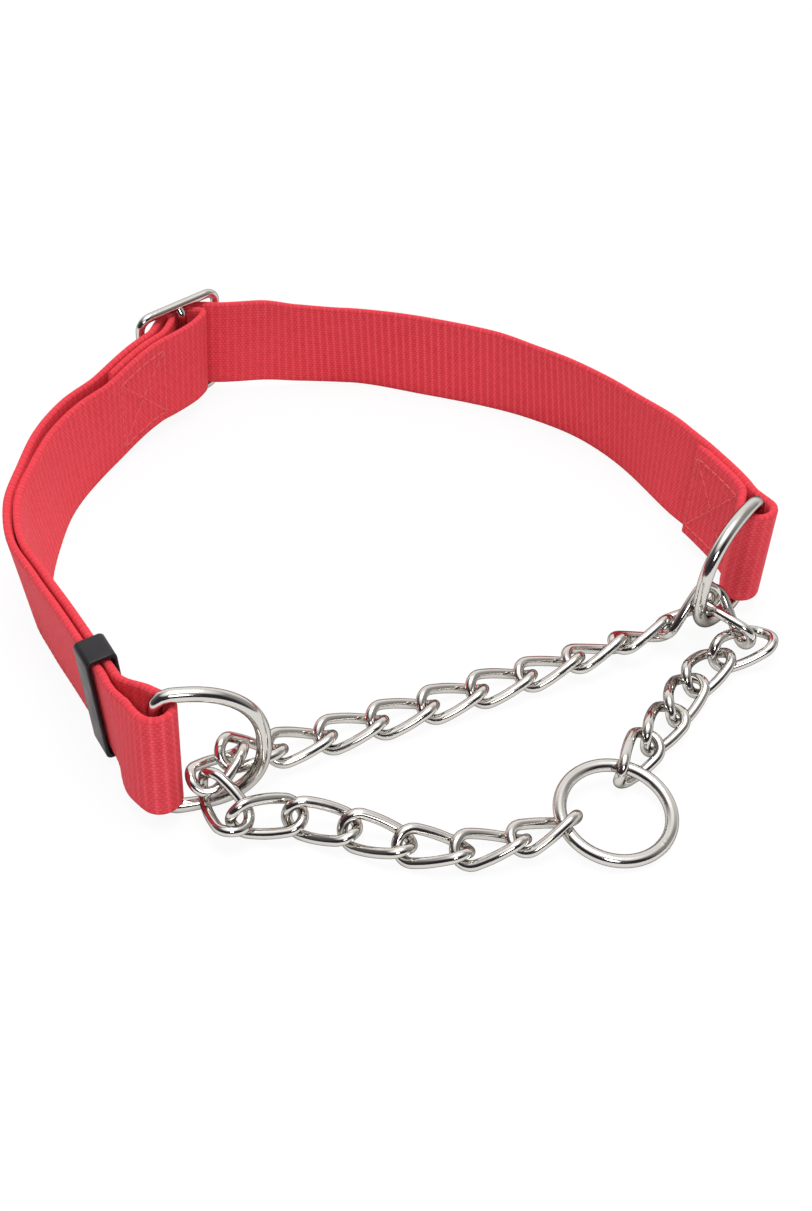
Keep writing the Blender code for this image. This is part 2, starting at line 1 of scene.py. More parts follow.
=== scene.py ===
"""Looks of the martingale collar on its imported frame: woven strap, sewn boxes, nickel wire and keeper.

Units are metres. The strap's route and the chain's places repeat those of the solids, and every
piece is moved at the end from the collar's own plan to the place that the frame gives it.
"""

import json
import math

import bpy
import numpy as np
from mathutils import Matrix, Vector


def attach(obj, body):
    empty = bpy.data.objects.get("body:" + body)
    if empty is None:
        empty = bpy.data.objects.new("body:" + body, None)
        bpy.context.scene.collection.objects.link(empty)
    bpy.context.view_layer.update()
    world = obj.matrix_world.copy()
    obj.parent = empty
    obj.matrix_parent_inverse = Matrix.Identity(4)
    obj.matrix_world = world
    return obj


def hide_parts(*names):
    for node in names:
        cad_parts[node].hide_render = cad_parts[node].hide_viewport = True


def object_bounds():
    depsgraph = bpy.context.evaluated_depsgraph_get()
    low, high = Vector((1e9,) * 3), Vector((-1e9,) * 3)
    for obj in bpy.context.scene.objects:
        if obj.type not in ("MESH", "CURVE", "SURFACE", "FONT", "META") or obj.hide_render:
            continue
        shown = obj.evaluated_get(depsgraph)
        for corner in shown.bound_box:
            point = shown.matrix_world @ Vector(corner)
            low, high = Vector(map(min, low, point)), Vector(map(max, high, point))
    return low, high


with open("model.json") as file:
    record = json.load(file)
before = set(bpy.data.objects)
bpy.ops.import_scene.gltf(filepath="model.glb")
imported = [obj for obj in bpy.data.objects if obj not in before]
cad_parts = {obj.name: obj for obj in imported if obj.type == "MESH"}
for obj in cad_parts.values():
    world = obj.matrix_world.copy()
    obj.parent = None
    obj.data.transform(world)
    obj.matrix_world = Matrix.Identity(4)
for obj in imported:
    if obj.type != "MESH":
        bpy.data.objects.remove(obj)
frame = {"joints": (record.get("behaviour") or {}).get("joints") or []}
cad_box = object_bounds()

# Webbing
WEBBING_WIDTH = 0.0250
WEBBING_THICKNESS = 0.0018
LAYER_GAP = 0.0004
FIT_GAP = 0.0004
FOLD_TUCK = 0.0006
FOLD_SLACK = 0.0011
FOLD_OPENS = 0.0150
SEWN_FOLD_OPENS = 0.0068
STATION_STEP = 0.0030

# Dees
DEE_WIRE = 0.0030
DEE_DEPTH = 0.0220
DEE_CORNER = 0.0030
DEE_SQUARENESS = 2.4
LEFT_BAR = (-0.0480, -0.0613)
LEFT_BOW = (0.98, 0.19)
RIGHT_BAR = (0.0740, 0.0015)
RIGHT_BOW = (-0.60, -0.80)

# Curb chain
CHAIN_WIRE = 0.0022
CHAIN_PLAY = 0.0007
LINK_INNER_WIDTH = 0.0046
LINK_TWIST = math.radians(-90.0)

# Where front_link_02 meets the left dee: wires near there are thinned by a share, so that they clear
RUB_PLACE = (-0.0397, -0.0604, 0.0030)
RUB_REACH = 0.0035
RUB_DEPTH = 0.10

# Leash ring
RING_OUTER = 0.0250
RING_WIRE = 0.0027
RING_CENTRE = (0.0410, -0.0640)
RING_TILT = math.radians(10.0)
RING_HIGH_SIDE = math.radians(130.0)

# Slide: its bar bends to the frame from a share of its half length, and is thinner there
SLIDE_LENGTH = 0.0245
SLIDE_WIRE = 0.0022
SLIDE_CORNER = 0.0030
SLIDE_BAR_SET = 0.0018
SLIDE_GAP = 0.0006
SLIDE_CENTRE = (-0.05775, 0.07895)
SLIDE_ALONG = (-0.760, -0.650)
SLIDE_DROP = 0.0008
SLIDE_SLACK = 0.0002
SLIDE_BAR_BEND = 0.86
SLIDE_BAR_NECK = 0.08
SLIDE_SEAM = (0.0060, 0.0, 0.0142)

# Keeper
KEEPER_BAND = 0.0070
KEEPER_WALL = 0.0008
KEEPER_CORNER = 0.0013
KEEPER_FROM_FOLD = 0.0215
KEEPER_GAP = 0.0005
KEEPER_EDGE = KEEPER_WALL * 0.36
KEEPER_INNER_EASE = 0.0004

# Sewn tabs and their box stitches; the right tab is pressed close, its free end thinned to a share
TAB_LENGTH = 0.0260
LOOP_TAB_LENGTH = 0.0185
TAB_OPENS = 0.0450
TAB_PRESS = 0.00028
TAB_THINS = 0.0030
TAB_END = 0.45
STITCH_LENGTH = 0.0160
STITCH_HEIGHT = 0.0190
STITCH_INSET = 0.0030

# The strap's route in plan, from the right dee round the back of the neck to the left dee
BACK_ROUTE = [
    (0.0718, 0.0100), (0.0668, 0.0211), (0.0615, 0.0311), (0.0529, 0.0492), (0.0430, 0.0616),
    (0.0323, 0.0694), (0.0224, 0.0744), (0.0043, 0.0807), (-0.0148, 0.0861), (-0.0270, 0.0847),
    (-0.0380, 0.0829),
]
SIDE_ROUTE = [
    (-0.0717, 0.0548), (-0.0773, 0.0447), (-0.0810, 0.0326), (-0.0820, 0.0197), (-0.0818, 0.0068),
    (-0.0800, -0.0053), (-0.0744, -0.0167), (-0.0682, -0.0279), (-0.0566, -0.0485),
    (-0.0526, -0.0567),
]

# Where the strap's upper edge stands from its lower edge, and how far the lower edge is off the
# table, by the direction in degrees in which a place lies from the middle of the neck
NECK_MIDDLE = (0.0, 0.0100)
STANCE_MARGIN = 60.0  # degrees before the first row that still belong to it
STANCE = [
    (-10.0, (0.0015, 0.0005), 0.00285),
    (10.0, (0.0011, 0.0005), 0.0022),
    (19.0, (0.0013, 0.0008), 0.0012),
    (36.5, (-0.0017, -0.0013), 0.0),
    (50.0, (-0.0026, -0.0027), 0.0),
    (61.0, (-0.0019, -0.0033), 0.0),
    (71.0, (-0.0011, -0.0026), 0.0),
    (86.0, (-0.0007, -0.0024), 0.0),
    (101.0, (-0.0006, -0.0037), 0.0),
    (110.0, (0.0004, -0.0031), 0.0015),
    (118.0, (0.00164, -0.00192), 0.0030),
    (139.0, (0.00164, -0.00192), 0.0030),
    (150.0, (0.0018, -0.0012), 0.0008),
    (157.0, (0.0, 0.0), 0.0),
    (173.0, (-0.0027, 0.0), 0.0),
    (182.0, (-0.0040, 0.0), 0.0),
    (190.0, (-0.0029, -0.0008), 0.0003),
    (200.0, (-0.0018, -0.0009), 0.0009),
    (213.0, (-0.0013, -0.0010), 0.0024),
    (227.0, (-0.0008, -0.0006), 0.0025),
    (232.0, (0.0012, 0.0016), 0.0029),
    (237.0, (0.0005, 0.0030), 0.0031),
]

# The chain's runs: where each starts and ends from the left dee's bar or the end of the right dee's
# bow, the points that it passes between, and each link's roll in degrees from lying flat
BACK_START = (0.0124, 0.0081, 0.0087)
BACK_RUN = [
    (-0.0285, -0.0494, 0.0051), (-0.0216, -0.0453, 0.0031), (-0.0019, -0.0374, 0.0029),
    (0.0156, -0.0297, 0.0029), (0.0255, -0.0255, 0.0029), (0.0361, -0.0211, 0.0035),
    (0.0462, -0.0165, 0.0040),
]
BACK_END = (-0.0043, 0.0041, 0.0044)
BACK_ROLLS = [0, 0, 0, 0, 0, -1, -15, -31, -46]
FRONT_START = (0.0262, -0.0044, 0.0041)
FRONT_RUN = [
    (-0.0109, -0.0683, 0.0035), (-0.0004, -0.0720, 0.0030), (0.0107, -0.0734, 0.0028),
    (0.0216, -0.0712, 0.0032),
]
FRONT_ROLLS = [33, 17, 4, -9, -23]
FRONT_CONTACT = 195.0
RIGHT_START = (-0.0006, -0.0118, 0.0034)
RIGHT_RUN = [(0.0553, -0.0373, 0.0038), (0.0493, -0.0459, 0.0046)]
RIGHT_ROLLS = [-26, -40, -55]
RIGHT_CONTACT = 77.5

# Links that turn the chain's corners: start and end from the same two places, and roll
LEFT_TURNS = {
    "front_link_01": ((0.0144, 0.0094, 0.0075), (0.0078, 0.0013, 0.0076), 13),
    "front_link_02": ((0.0091, 0.0016, 0.0073), (0.0154, -0.0074, 0.0051), 36),
    "front_link_03": ((0.0156, -0.0063, 0.0056), (0.0266, -0.0041, 0.0043), 48),
}
RIGHT_TURNS = {
    "back_link_10": ((-0.0046, 0.0038, 0.0046), (0.0046, 0.0075, 0.0113), -57),
    "back_link_11": ((0.0052, 0.0089, 0.0096), (0.0123, 0.0007, 0.0045), -43),
    "right_link_01": ((0.0165, 0.0004, 0.0046), (0.0060, -0.0041, 0.0038), -28),
    "right_link_02": ((0.0064, -0.0039, 0.0034), (-0.0006, -0.0120, 0.0034), -16),
}

# Weave, in the strap's own directions; the painted highlight and shade on its ribs are strongest at
# mid-back and at the left fold
RIB_PITCH = 0.00187
RIB_SAMPLES = 6
RIB_HEIGHT = 0.00004
FLOAT_PITCH = 0.00094
BEAD_PITCH = 0.00118
BEAD_HEIGHT = 0.00006
WARP_PITCH = 0.00078
BORDER = 0.0013
RIBS_BACK = 0.1000
RIBS_REACH = 0.0480
RIBS_FOLD_REACH = 0.0070
RIBS_FAINT = 0.50
RIBS_FADE = 4
FACE_POINTS = 22
EDGE_POINTS = 6
TURN_STEPS = 8

# Sewing thread, and how far off it the webbing is drawn in
THREAD_RADIUS = 0.00024
THREAD_STEP = 0.0025
THREAD_SPAN = 0.0021
THREAD_PULL = 0.00012
THREAD_LIFT = 0.00010
THREAD_POINTS = 9
THREAD_SIDES = 8
THREAD_TIP = 0.08
THREAD_ARCH = 0.5
THREAD_TAPER = 0.4
PULL_REACH = THREAD_STEP / 4

# Facets of the wire and the keeper
LINK_BOW_POINTS = 26
LINK_SIDE_POINTS = 11
LINK_SIDES = 18
DEE_POINTS = 150
DEE_CORNER_STEPS = 3
SLIDE_CORNER_POINTS = 14
SLIDE_BAR_STEPS = 40
SLIDE_STEP = SLIDE_WIRE / 5
RING_POINTS = 220
WIRE_SIDES = 26
CHAIN_STEP = STATION_STEP / 6
KEEPER_EDGE_POINTS = 6
KEEPER_CORNER_POINTS = 10
ANY_DIRECTION = (0.3, 0.5, 0.81)  # none that a wire starts along

# Butt welds: a swelling of the wire with a narrower line in it, and the leash ring's in degrees
SEAM_LENGTH = 0.0007
SEAM_SWELL = 0.05
SEAM_LINE = 4.0
RING_SEAM = -38.0

# Colours, linear
NYLON_DEEP = (0.66, 0.036, 0.050, 1.0)
NYLON_PALE = (0.92, 0.104, 0.130, 1.0)
NYLON_PATCH = (0.80, 0.090, 0.120, 1.0)
# The edge colour below is painted shade along the strap's edges
NYLON_EDGE_SHADE = (0.54, 0.036, 0.050, 1.0)
THREAD_DEEP = (0.70, 0.085, 0.100, 1.0)
THREAD_PALE = (0.86, 0.150, 0.170, 1.0)
NICKEL_DEEP = (0.57, 0.548, 0.515, 1.0)
NICKEL_PALE = (0.67, 0.648, 0.612, 1.0)
# The rim tint below darkens the nickel's reflection where the wire is seen edge-on: painted shade on its
# rims
NICKEL_RIM_SHADE = (0.18, 0.17, 0.16, 1.0)
ACETAL_DEEP = (0.006, 0.005, 0.007, 1.0)
ACETAL_PALE = (0.013, 0.011, 0.014, 1.0)
FLOOR_MATT = (0.80, 0.80, 0.80, 1.0)
WALL_LEFT = (0.12, 0.115, 0.12, 1.0)
WALL_RIGHT = (0.38, 0.375, 0.37, 1.0)
WALL_BACK = (1.20, 1.20, 1.20, 1.0)
WALL_FRONT = (0.035, 0.030, 0.040, 1.0)
CEILING = (1.50, 1.50, 1.50, 1.0)
WHITE = (1.0, 1.0, 1.0, 1.0)

# Noise, in features to a metre
FIBRE_SCALE = 5200.0
WANDER_SCALE = 900.0
PATCH_SCALE = 55.0
LAY_SCALE = 900.0
LAY_BEND = 1.5
FUZZ_SCALE = 700.0
BROAD_SCALE = 190.0
RIPPLE_SCALE = 1400.0
GRAIN_SCALE = 2600.0
CLOUD_SCALE = 260.0

# Shares in the strap's colour, from deep to pale: the weave's own parts, painted highlight and shade on its
# ribs, painted shade on its edges; and shares in its relief
CREST_HIGHLIGHT = 0.54
CREST_HIGHLIGHT_BETWEEN = 0.45
VALLEY_SHADE = -0.10
DOT_TONE = 0.38
WANDER_TONE = 0.50
TONE_RANGE = (0.08, 0.86)
PATCH_RANGE = (0.35, 0.65)
PATCH_SHARE = 0.16
BEAD_RANGE = (0.2, 1.0)
# The two shares below set the painted shade along the strap's edges, between its beads and on them
EDGE_SHADE_BETWEEN = 0.75
EDGE_SHADE_ON_BEAD = 0.35
FIBRE_RELIEF = 0.30
DOT_RELIEF = 0.70
BEAD_RELIEF = 0.50

# Bump maps: strength and distance
NYLON_BUMP = (0.50, 0.00012)
THREAD_BUMP = (0.40, 0.00010)
NICKEL_BUMP = (0.015, 0.00040)
ACETAL_BUMP = (0.12, 0.00010)

# Each noise's range, the roughness that it gives, and other gloss
NOISE_MIDDLE = (0.3, 0.7)
NYLON_ROUGH = (0.60, 0.80)
THREAD_ROUGH = (0.45, 0.62)
RIPPLE_ROUGH = 0.3
RIPPLE_RELIEF = 0.08
NICKEL_RANGE = (0.45, 0.95)
NICKEL_ROUGH = (0.07, 0.17)
GRAIN_ROUGH = 0.5
ACETAL_RANGE = (0.5, 1.0)
ACETAL_ROUGH = (0.32, 0.48)
WOVEN_GLOSS = 0.08
ACETAL_GLOSS = 0.28
NYLON_SHEEN = {"Sheen_Weight": 0.02, "Sheen_Roughness": 0.45, "Sheen_Tint": (1.0, 0.62, 0.66, 1.0)}

# Where the studio's walls and ceiling begin and end to show, by a look's own direction
SIDE_SPAN = (-0.45, 0.45)
BACK_SPAN = (0.25, 0.75)
FRONT_SPAN = (-0.10, -0.55)
TOP_SPAN = (0.72, 0.94)

# Lamps: name, place, size and watts
SOFTBOXES = [
    ("key_softbox", (0.05, 0.00, 1.15), (0.6, 0.6), 9.0),
    ("front_softbox", (0.15, -0.95, 0.70), (0.3, 0.3), 2.7),
]
FLOOR_REACH = 3.0
FLOOR_GAP = 0.0001

# Share of the floor that glows white, to the camera and in the metal
FLOOR_GLOW = 0.92
MIRRORED_GLOW = 0.45

# Photograph's camera: where it stands, how far it looks down, and its focal length in pixels
IMAGE_SIZE = (812, 1211)
CAMERA_PLACE = (0.0, -0.291, 0.262)
CAMERA_DOWN = math.radians(42.0)
FOCAL_PIXELS = 1750.0
SENSOR = 36.0
CLIP = (0.01, 20.0)


def smoothstep(share):
    share = min(max(share, 0.0), 1.0)
    return share * share * (3.0 - 2.0 * share)


def on_span(before, start, end, after, share):
    """Point on the centripetal spline span that runs from start to end."""
    t1 = math.sqrt((start - before).length)
    t2 = t1 + math.sqrt((end - start).length)
    t3 = t2 + math.sqrt((after - end).length)
    t = t1 + (t2 - t1) * share
    a1 = before.lerp(start, t / t1)
    a2 = start.lerp(end, (t - t1) / (t2 - t1))
    a3 = end.lerp(after, (t - t2) / (t3 - t2))
    b1 = a1.lerp(a2, t / t2)
    b2 = a2.lerp(a3, (t - t1) / (t3 - t1))
    return b1.lerp(b2, (t - t1) / (t2 - t1))


def smooth_route(points, step):
    """Points about a step apart along a smooth curve through the given points."""
    return route_with_marks(points, step)[0]


def route_with_marks(points, step):
    """A smooth route, and the number in it of each point that it was drawn through."""
    ends = [2 * points[0] - points[1], *points, 2 * points[-1] - points[-2]]
    route = []
    marks = []
    for before, start, end, after in zip(ends, ends[1:], ends[2:], ends[3:]):
        marks.append(len(route))
        count = max(1, round((end - start).length / step))
        route += [on_span(before, start, end, after, i / count) for i in range(count)]
    return [*route, points[-1]], [*marks, len(route)]


def lengths_along(route):
    """Distance of each point of a route from the route's start."""
    lengths = [0.0]
    for start, end in zip(route, route[1:]):
        lengths.append(lengths[-1] + (end - start).length)
    return lengths


def point_at(route, distance):
    """Point and direction at a distance along a route."""
    lengths = lengths_along(route)
    for i, length in enumerate(lengths[1:]):
        if distance <= length or i == len(route) - 2:
            share = (distance - lengths[i]) / (length - lengths[i])
            return route[i].lerp(route[i + 1], share), (route[i + 1] - route[i]).normalized()


def outward(direction):
    """Plan normal that points away from the neck, for a route that runs right to left."""
    return Vector((direction.y, -direction.x))


def slope_at(before, here, after):
    """Slope at the middle of three (place, value) points: level at a peak, a dip or a flat."""
    first = (here[1] - before[1]) / (here[0] - before[0])
    second = (after[1] - here[1]) / (after[0] - here[0])
    return 2.0 * first * second / (first + second) if first * second > 0.0 else 0.0


def eased(points, place):
    """Value at a place on the smooth curve through (place, value) points, level at both ends."""
    ends = [(points[0][0] - 1.0, points[0][1]), *points, (points[-1][0] + 1.0, points[-1][1])]
    for before, start, end, after in zip(ends, ends[1:], ends[2:], ends[3:]):
        if place <= end[0]:
            span = end[0] - start[0]
            share = (place - start[0]) / span
            curve = start[1] + (end[1] - start[1]) * smoothstep(share)
            leave = slope_at(before, start, end) * share * (1.0 - share) ** 2
            arrive = slope_at(start, end, after) * share ** 2 * (1.0 - share)
            return curve + span * (leave - arrive)


def stance(plan):
    """Offset of the strap's upper edge in plan, and lift of its lower edge, at a plan point."""
    angle = math.degrees(math.atan2(plan.y - NECK_MIDDLE[1], plan.x - NECK_MIDDLE[0]))
    if angle < STANCE[0][0] - STANCE_MARGIN:
        angle += 360.0
    angle = min(max(angle, STANCE[0][0]), STANCE[-1][0])
    lean = Vector([eased([(row[0], row[1][k]) for row in STANCE], angle) for k in range(2)])
    return lean, eased([(row[0], row[2]) for row in STANCE], angle)


def strap_point(plan, share):
    """Point over a plan point, from the strap's lower edge (0) to its upper edge (1)."""
    lean, lift = stance(plan)
    rise = math.sqrt(WEBBING_WIDTH ** 2 - lean.length_squared)
    return Vector((plan.x + lean.x * share, plan.y + lean.y * share, lift + rise * share))


def strap_frame(plan, direction, share):
    """Matrix with X along the strap's route, Y towards the neck and Z up the strap's width."""
    up = (strap_point(plan, 1.0) - strap_point(plan, 0.0)).normalized()
    along = Vector((direction.x, direction.y, 0.0))
    along = (along - up * along.dot(up)).normalized()
    axes = Matrix((along, up.cross(along), up)).transposed()
    return Matrix.Translation(strap_point(plan, share)) @ axes.to_4x4()


FOLD_RADIUS = DEE_WIRE / 2 + FOLD_SLACK + WEBBING_THICKNESS / 2
LAYER_PITCH = WEBBING_THICKNESS + LAYER_GAP
RAIL_CLEAR = SLIDE_WIRE / 2 + FIT_GAP + WEBBING_THICKNESS / 2
RAIL_PLACE = (SLIDE_LENGTH - SLIDE_WIRE) / 2
SLIDE_HIGH = WEBBING_WIDTH / 2 + SLIDE_GAP + SLIDE_WIRE / 2


def fold_offset(distance, opens):
    """Offset of either layer from the middle of a fold, at a distance from the dee's bar."""
    return FOLD_RADIUS + (LAYER_PITCH / 2 - FOLD_RADIUS) * smoothstep(distance / opens)


def back_offset(distance):
    """Offset of either layer from the back's middle route, where the fold is sewn close to its dee."""
    return fold_offset(distance, SEWN_FOLD_OPENS)


def sewn_offset(distance):
    """Offset of the right tab, which its sewing draws close to the layer behind it."""
    return TAB_PRESS * smoothstep(distance / SEWN_FOLD_OPENS) - back_offset(distance)


def tab_offset(distance):
    """Extra offset of the outer and inner layers where the slide's sewn tab lies between them."""
    return LAYER_PITCH / 2 * smoothstep(distance / TAB_OPENS + 1.0)


def slide_point(along, out):
    """Plan point in the slide's own directions: along the strap's route and away from the neck."""
    axis = Vector(SLIDE_ALONG).normalized()
    return Vector(SLIDE_CENTRE) + axis * along + outward(axis) * out


def back_middle():
    """Route midway between the layers of the right dee's fold, and on round the back."""
    return smooth_route([Vector(p) for p in (RIGHT_BAR, *BACK_ROUTE)], STATION_STEP)


def side_middle():
    """Route midway between the strap's layers, from the left dee's bar up to the slide."""
    top = slide_point(RAIL_PLACE, -RAIL_CLEAR - LAYER_PITCH - SLIDE_DROP)
    points = [Vector(LEFT_BAR), *(Vector(p) for p in reversed(SIDE_ROUTE)), top]
    return smooth_route(points, STATION_STEP)


def layer(middle, offsets, start, end):
    """A middle route's points from start to end, each moved sideways by its own offset."""
    points = []
    for i, length in enumerate(lengths_along(middle)):
        if start < length < end:
            ahead = (middle[min(i + 1, len(middle) - 1)] - middle[i - 1]).normalized()
            points.append(middle[i] + outward(ahead) * offsets(length))
    return points


def half_turn(bar, away, side):
    """Half turn of webbing round a dee's bar, from one side of its fold to the other."""
    across = outward(away) * side
    turns = [math.pi * k / TURN_STEPS for k in range(TURN_STEPS + 1)]
    return [bar + FOLD_RADIUS * (across * math.cos(t) + away * math.sin(t)) for t in turns]


def weave_through_slide():
    """Strap's route in at one rail of the slide, over its centre bar and out at the other rail."""
    over = RAIL_CLEAR + LAYER_PITCH - SLIDE_BAR_SET
    under = -RAIL_CLEAR - SLIDE_SLACK
    places = [
        (-RAIL_PLACE + 0.0010, under - 0.0008), (-0.0066, under + 0.0026), (-0.0040, over - 0.0010),
        (-0.0014, over), (0.0014, over), (0.0040, over - 0.0014), (RAIL_PLACE - 0.0015, under),
    ]
    return [slide_point(*place) for place in places]


def loop_round_bar():
    """Sewn loop's route up one side of the slide's centre bar, round it and down the other."""
    deep = -RAIL_CLEAR - 2 * LAYER_PITCH
    near = -RAIL_CLEAR - LAYER_PITCH
    over = RAIL_CLEAR - SLIDE_BAR_SET
    places = [
        (RAIL_PLACE - 0.0035, deep - 0.0005), (0.0030, deep + 0.0001), (-0.0006, deep + 0.0009),
        (-0.0036, deep + 0.0022), (-0.0050, deep + 0.0032), (-0.0054, deep + 0.0043),
        (-0.0047, deep + 0.0053), (-0.0026, over - 0.0006), (-0.0003, over + 0.0002),
        (0.0016, over - 0.0004), (0.0030, over - 0.0020), (RAIL_PLACE - 0.0035, near),
    ]
    return [slide_point(*place) for place in places]


def side_offset(side, distance):
    """Offset of the outer and inner layers from the left side's middle route."""
    tab_end = lengths_along(side)[-1] - LOOP_TAB_LENGTH
    return fold_offset(distance, FOLD_OPENS) + tab_offset(distance - tab_end)


def fold_tuck(plan):
    """How far the strap's edges are drawn in near a dee's bar."""
    nearest = min((plan - Vector(bar)).length for bar in (LEFT_BAR, RIGHT_BAR))
    return FOLD_TUCK * (1.0 - smoothstep((nearest - FOLD_RADIUS) / FOLD_RADIUS))


def strap_points(back, side):
    """Points that the whole strap's route is drawn through, and the number of each stretch's first."""
    right_away = (back[0] - back[1]).normalized()
    left_away = (side[0] - side[1]).normalized()
    tab_end = lengths_along(side)[-1] - LOOP_TAB_LENGTH
    stretches = {
        "right_tab": layer(back, sewn_offset, 0.0, TAB_LENGTH)[::-1],
        "right_turn": half_turn(back[0], right_away, 1),
        "back": layer(back, back_offset, 0.0, math.inf),
        "weave": weave_through_slide(),
        "outer": layer(side, lambda d: -side_offset(side, d), 0.0, math.inf)[::-1],
        "left_turn": half_turn(side[0], left_away, 1),
        "inner": layer(side, lambda d: side_offset(side, d), 0.0, math.inf),
        "loop": loop_round_bar(),
        "left_tab": layer(side, lambda d: 0.0, tab_end, math.inf)[::-1],
    }
    points = []
    firsts = {}
    for name, stretch in stretches.items():
        firsts[name] = len(points)
        points += stretch
    return points, firsts


def shift_to_frame():
    """How far the frame stands from the collar's plan, read from the leash ring's pivot."""
    pivot = next(j for j in frame["joints"] if j["name"] == "leash_ring_spin")["pos_m"]
    return Vector(pivot) - ring_frame().translation


def add_piece(name, vertices, faces, material, body, slot, *nodes):
    """One smooth-shaded piece that rides on a body and stands for some of the frame's nodes."""
    mesh = bpy.data.meshes.new(name)
    mesh.from_pydata((np.asarray(vertices) + np.array(shift_to_frame())).tolist(), [], faces)
    mesh.polygons.foreach_set("use_smooth", [True] * len(mesh.polygons))
    mesh.materials.append(material)
    piece = bpy.data.objects.new(name, mesh)
    bpy.context.scene.collection.objects.link(piece)
    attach(piece, body)
    if nodes:
        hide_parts(*nodes)
    return piece


def loop_faces(rings, count, closed):
    """Quads between successive rings of vertices, and end caps where the sweep is open."""
    faces = []
    for i in range(rings if closed else rings - 1):
        a, b = i * count, (i + 1) % rings * count
        for k in range(count):
            m = (k + 1) % count
            faces.append((a + k, a + m, b + m, b + k))
    if not closed:
        faces.append(tuple(reversed(range(count))))
        faces.append(tuple((rings - 1) * count + k for k in range(count)))
    return faces


def tube(points, radii, sides, closed):
    """Vertices and faces of round wire along a line of points, with a radius at each."""
    line = np.array([tuple(p) for p in points])
    count = len(line)
    ahead = np.roll(line, -1, 0) - np.roll(line, 1, 0)
    if not closed:
        ahead[0] = line[1] - line[0]
        ahead[-1] = line[-1] - line[-2]
    ahead /= np.linalg.norm(ahead, axis=1)[:, None]
    across = np.zeros_like(line)
    start = np.cross(ahead[0], ANY_DIRECTION)
    across[0] = start / np.linalg.norm(start)
    for i in range(1, count):
        carried = across[i - 1] - ahead[i] * across[i - 1].dot(ahead[i])
        across[i] = carried / np.linalg.norm(carried)
    if closed:
        carried = across[-1] - ahead[0] * across[-1].dot(ahead[0])
        slip = math.atan2(np.cross(carried, across[0]).dot(ahead[0]), carried.dot(across[0]))
    else:
        slip = 0.0
    turns = 2.0 * math.pi * np.arange(sides) / sides
    vertices = []
    for i in range(count):
        turn = turns + slip * i / count
        up = np.cross(ahead[i], across[i])
        ring = np.cos(turn)[:, None] * across[i] + np.sin(turn)[:, None] * up
        vertices.append(line[i] + radii[i] * ring)
    return np.concatenate(vertices), loop_faces(count, sides, closed)


def seam_radii(points, wire, seam):
    """Radius at each point of a closed wire whose butt weld is at one numbered point."""
    lengths = np.array(lengths_along([*points, points[0]]))
    gap = np.abs(lengths[:-1] - lengths[seam])
    gap = np.minimum(gap, lengths[-1] - gap) / SEAM_LENGTH
    swell, line = np.exp(-gap ** 2), np.exp(-(SEAM_LINE * gap) ** 2)
    return wire / 2 * (1.0 + SEAM_SWELL * swell - SEAM_SWELL * line)


def rubbed(points):
    """Share of the wire's radius that is left at each point of a line."""
    gap = np.array([(p - Vector(RUB_PLACE)).length for p in points]) / RUB_REACH
    return 1.0 - RUB_DEPTH * np.exp(-gap ** 2)


def add_wire(name, points, wire, sides, seam, place, material, body, *nodes):
    """Closed loop of round wire with its weld, moved to its place in the collar's plan."""
    points = [place @ p for p in points]
    vertices, faces = tube(points, seam_radii(points, wire, seam) * rubbed(points), sides, True)
    add_piece(name, vertices, faces, material, body, "metal", *nodes)


def strap_profile():
    """Closed outline of the strap's cross-section as shares of its half thickness and half width.

    Each place has an outward direction as well: faces point across the strap, edges along it.
    """
    round_edge = WEBBING_THICKNESS / WEBBING_WIDTH
    rows = []
    for side in (1, -1):
        for k in range(FACE_POINTS):
            share = side * (1.0 - round_edge) * (2.0 * k / (FACE_POINTS - 1) - 1.0)
            rows.append((side, share, side, 0.0))
        for k in range(1, EDGE_POINTS):
            t = math.pi * k / EDGE_POINTS
            out, up = side * math.cos(t), side * math.sin(t)
            rows.append((out, up * round_edge + side * (1.0 - round_edge), out, up))
    return np.array(rows)


def box_lines():
    """Start and end of each line of sewing in a box that is crossed from corner to corner."""
    corners = [(0.0, 0.0), (STITCH_LENGTH, 0.0), (STITCH_LENGTH, STITCH_HEIGHT), (0.0, STITCH_HEIGHT)]
    sides = zip(corners, [*corners[1:], corners[0]])
    return [*sides, (corners[0], corners[2]), (corners[1], corners[3])]


def box_starts(side):
    """How far along the back and along the left side their sewn boxes start."""
    left = lengths_along(side)[-1] - LOOP_TAB_LENGTH + STITCH_INSET
    return TAB_LENGTH - STITCH_INSET - STITCH_LENGTH, left


def sewn_pull(along, up):
    """How far thread draws the strap's face in, for places in a sewn box's own directions."""
    pull = np.zeros_like(along)
    for start, end in box_lines():
        run = np.subtract(end, start)
        share = ((along - start[0]) * run[0] + (up - start[1]) * run[1]) / run.dot(run)
        share = np.clip(share, 0.0, 1.0)
        gap = np.hypot(along - start[0] - share * run[0], up - start[1] - share * run[1])
        pull = np.maximum(pull, np.exp(-(gap / PULL_REACH) ** 2))
    return THREAD_PULL * pull


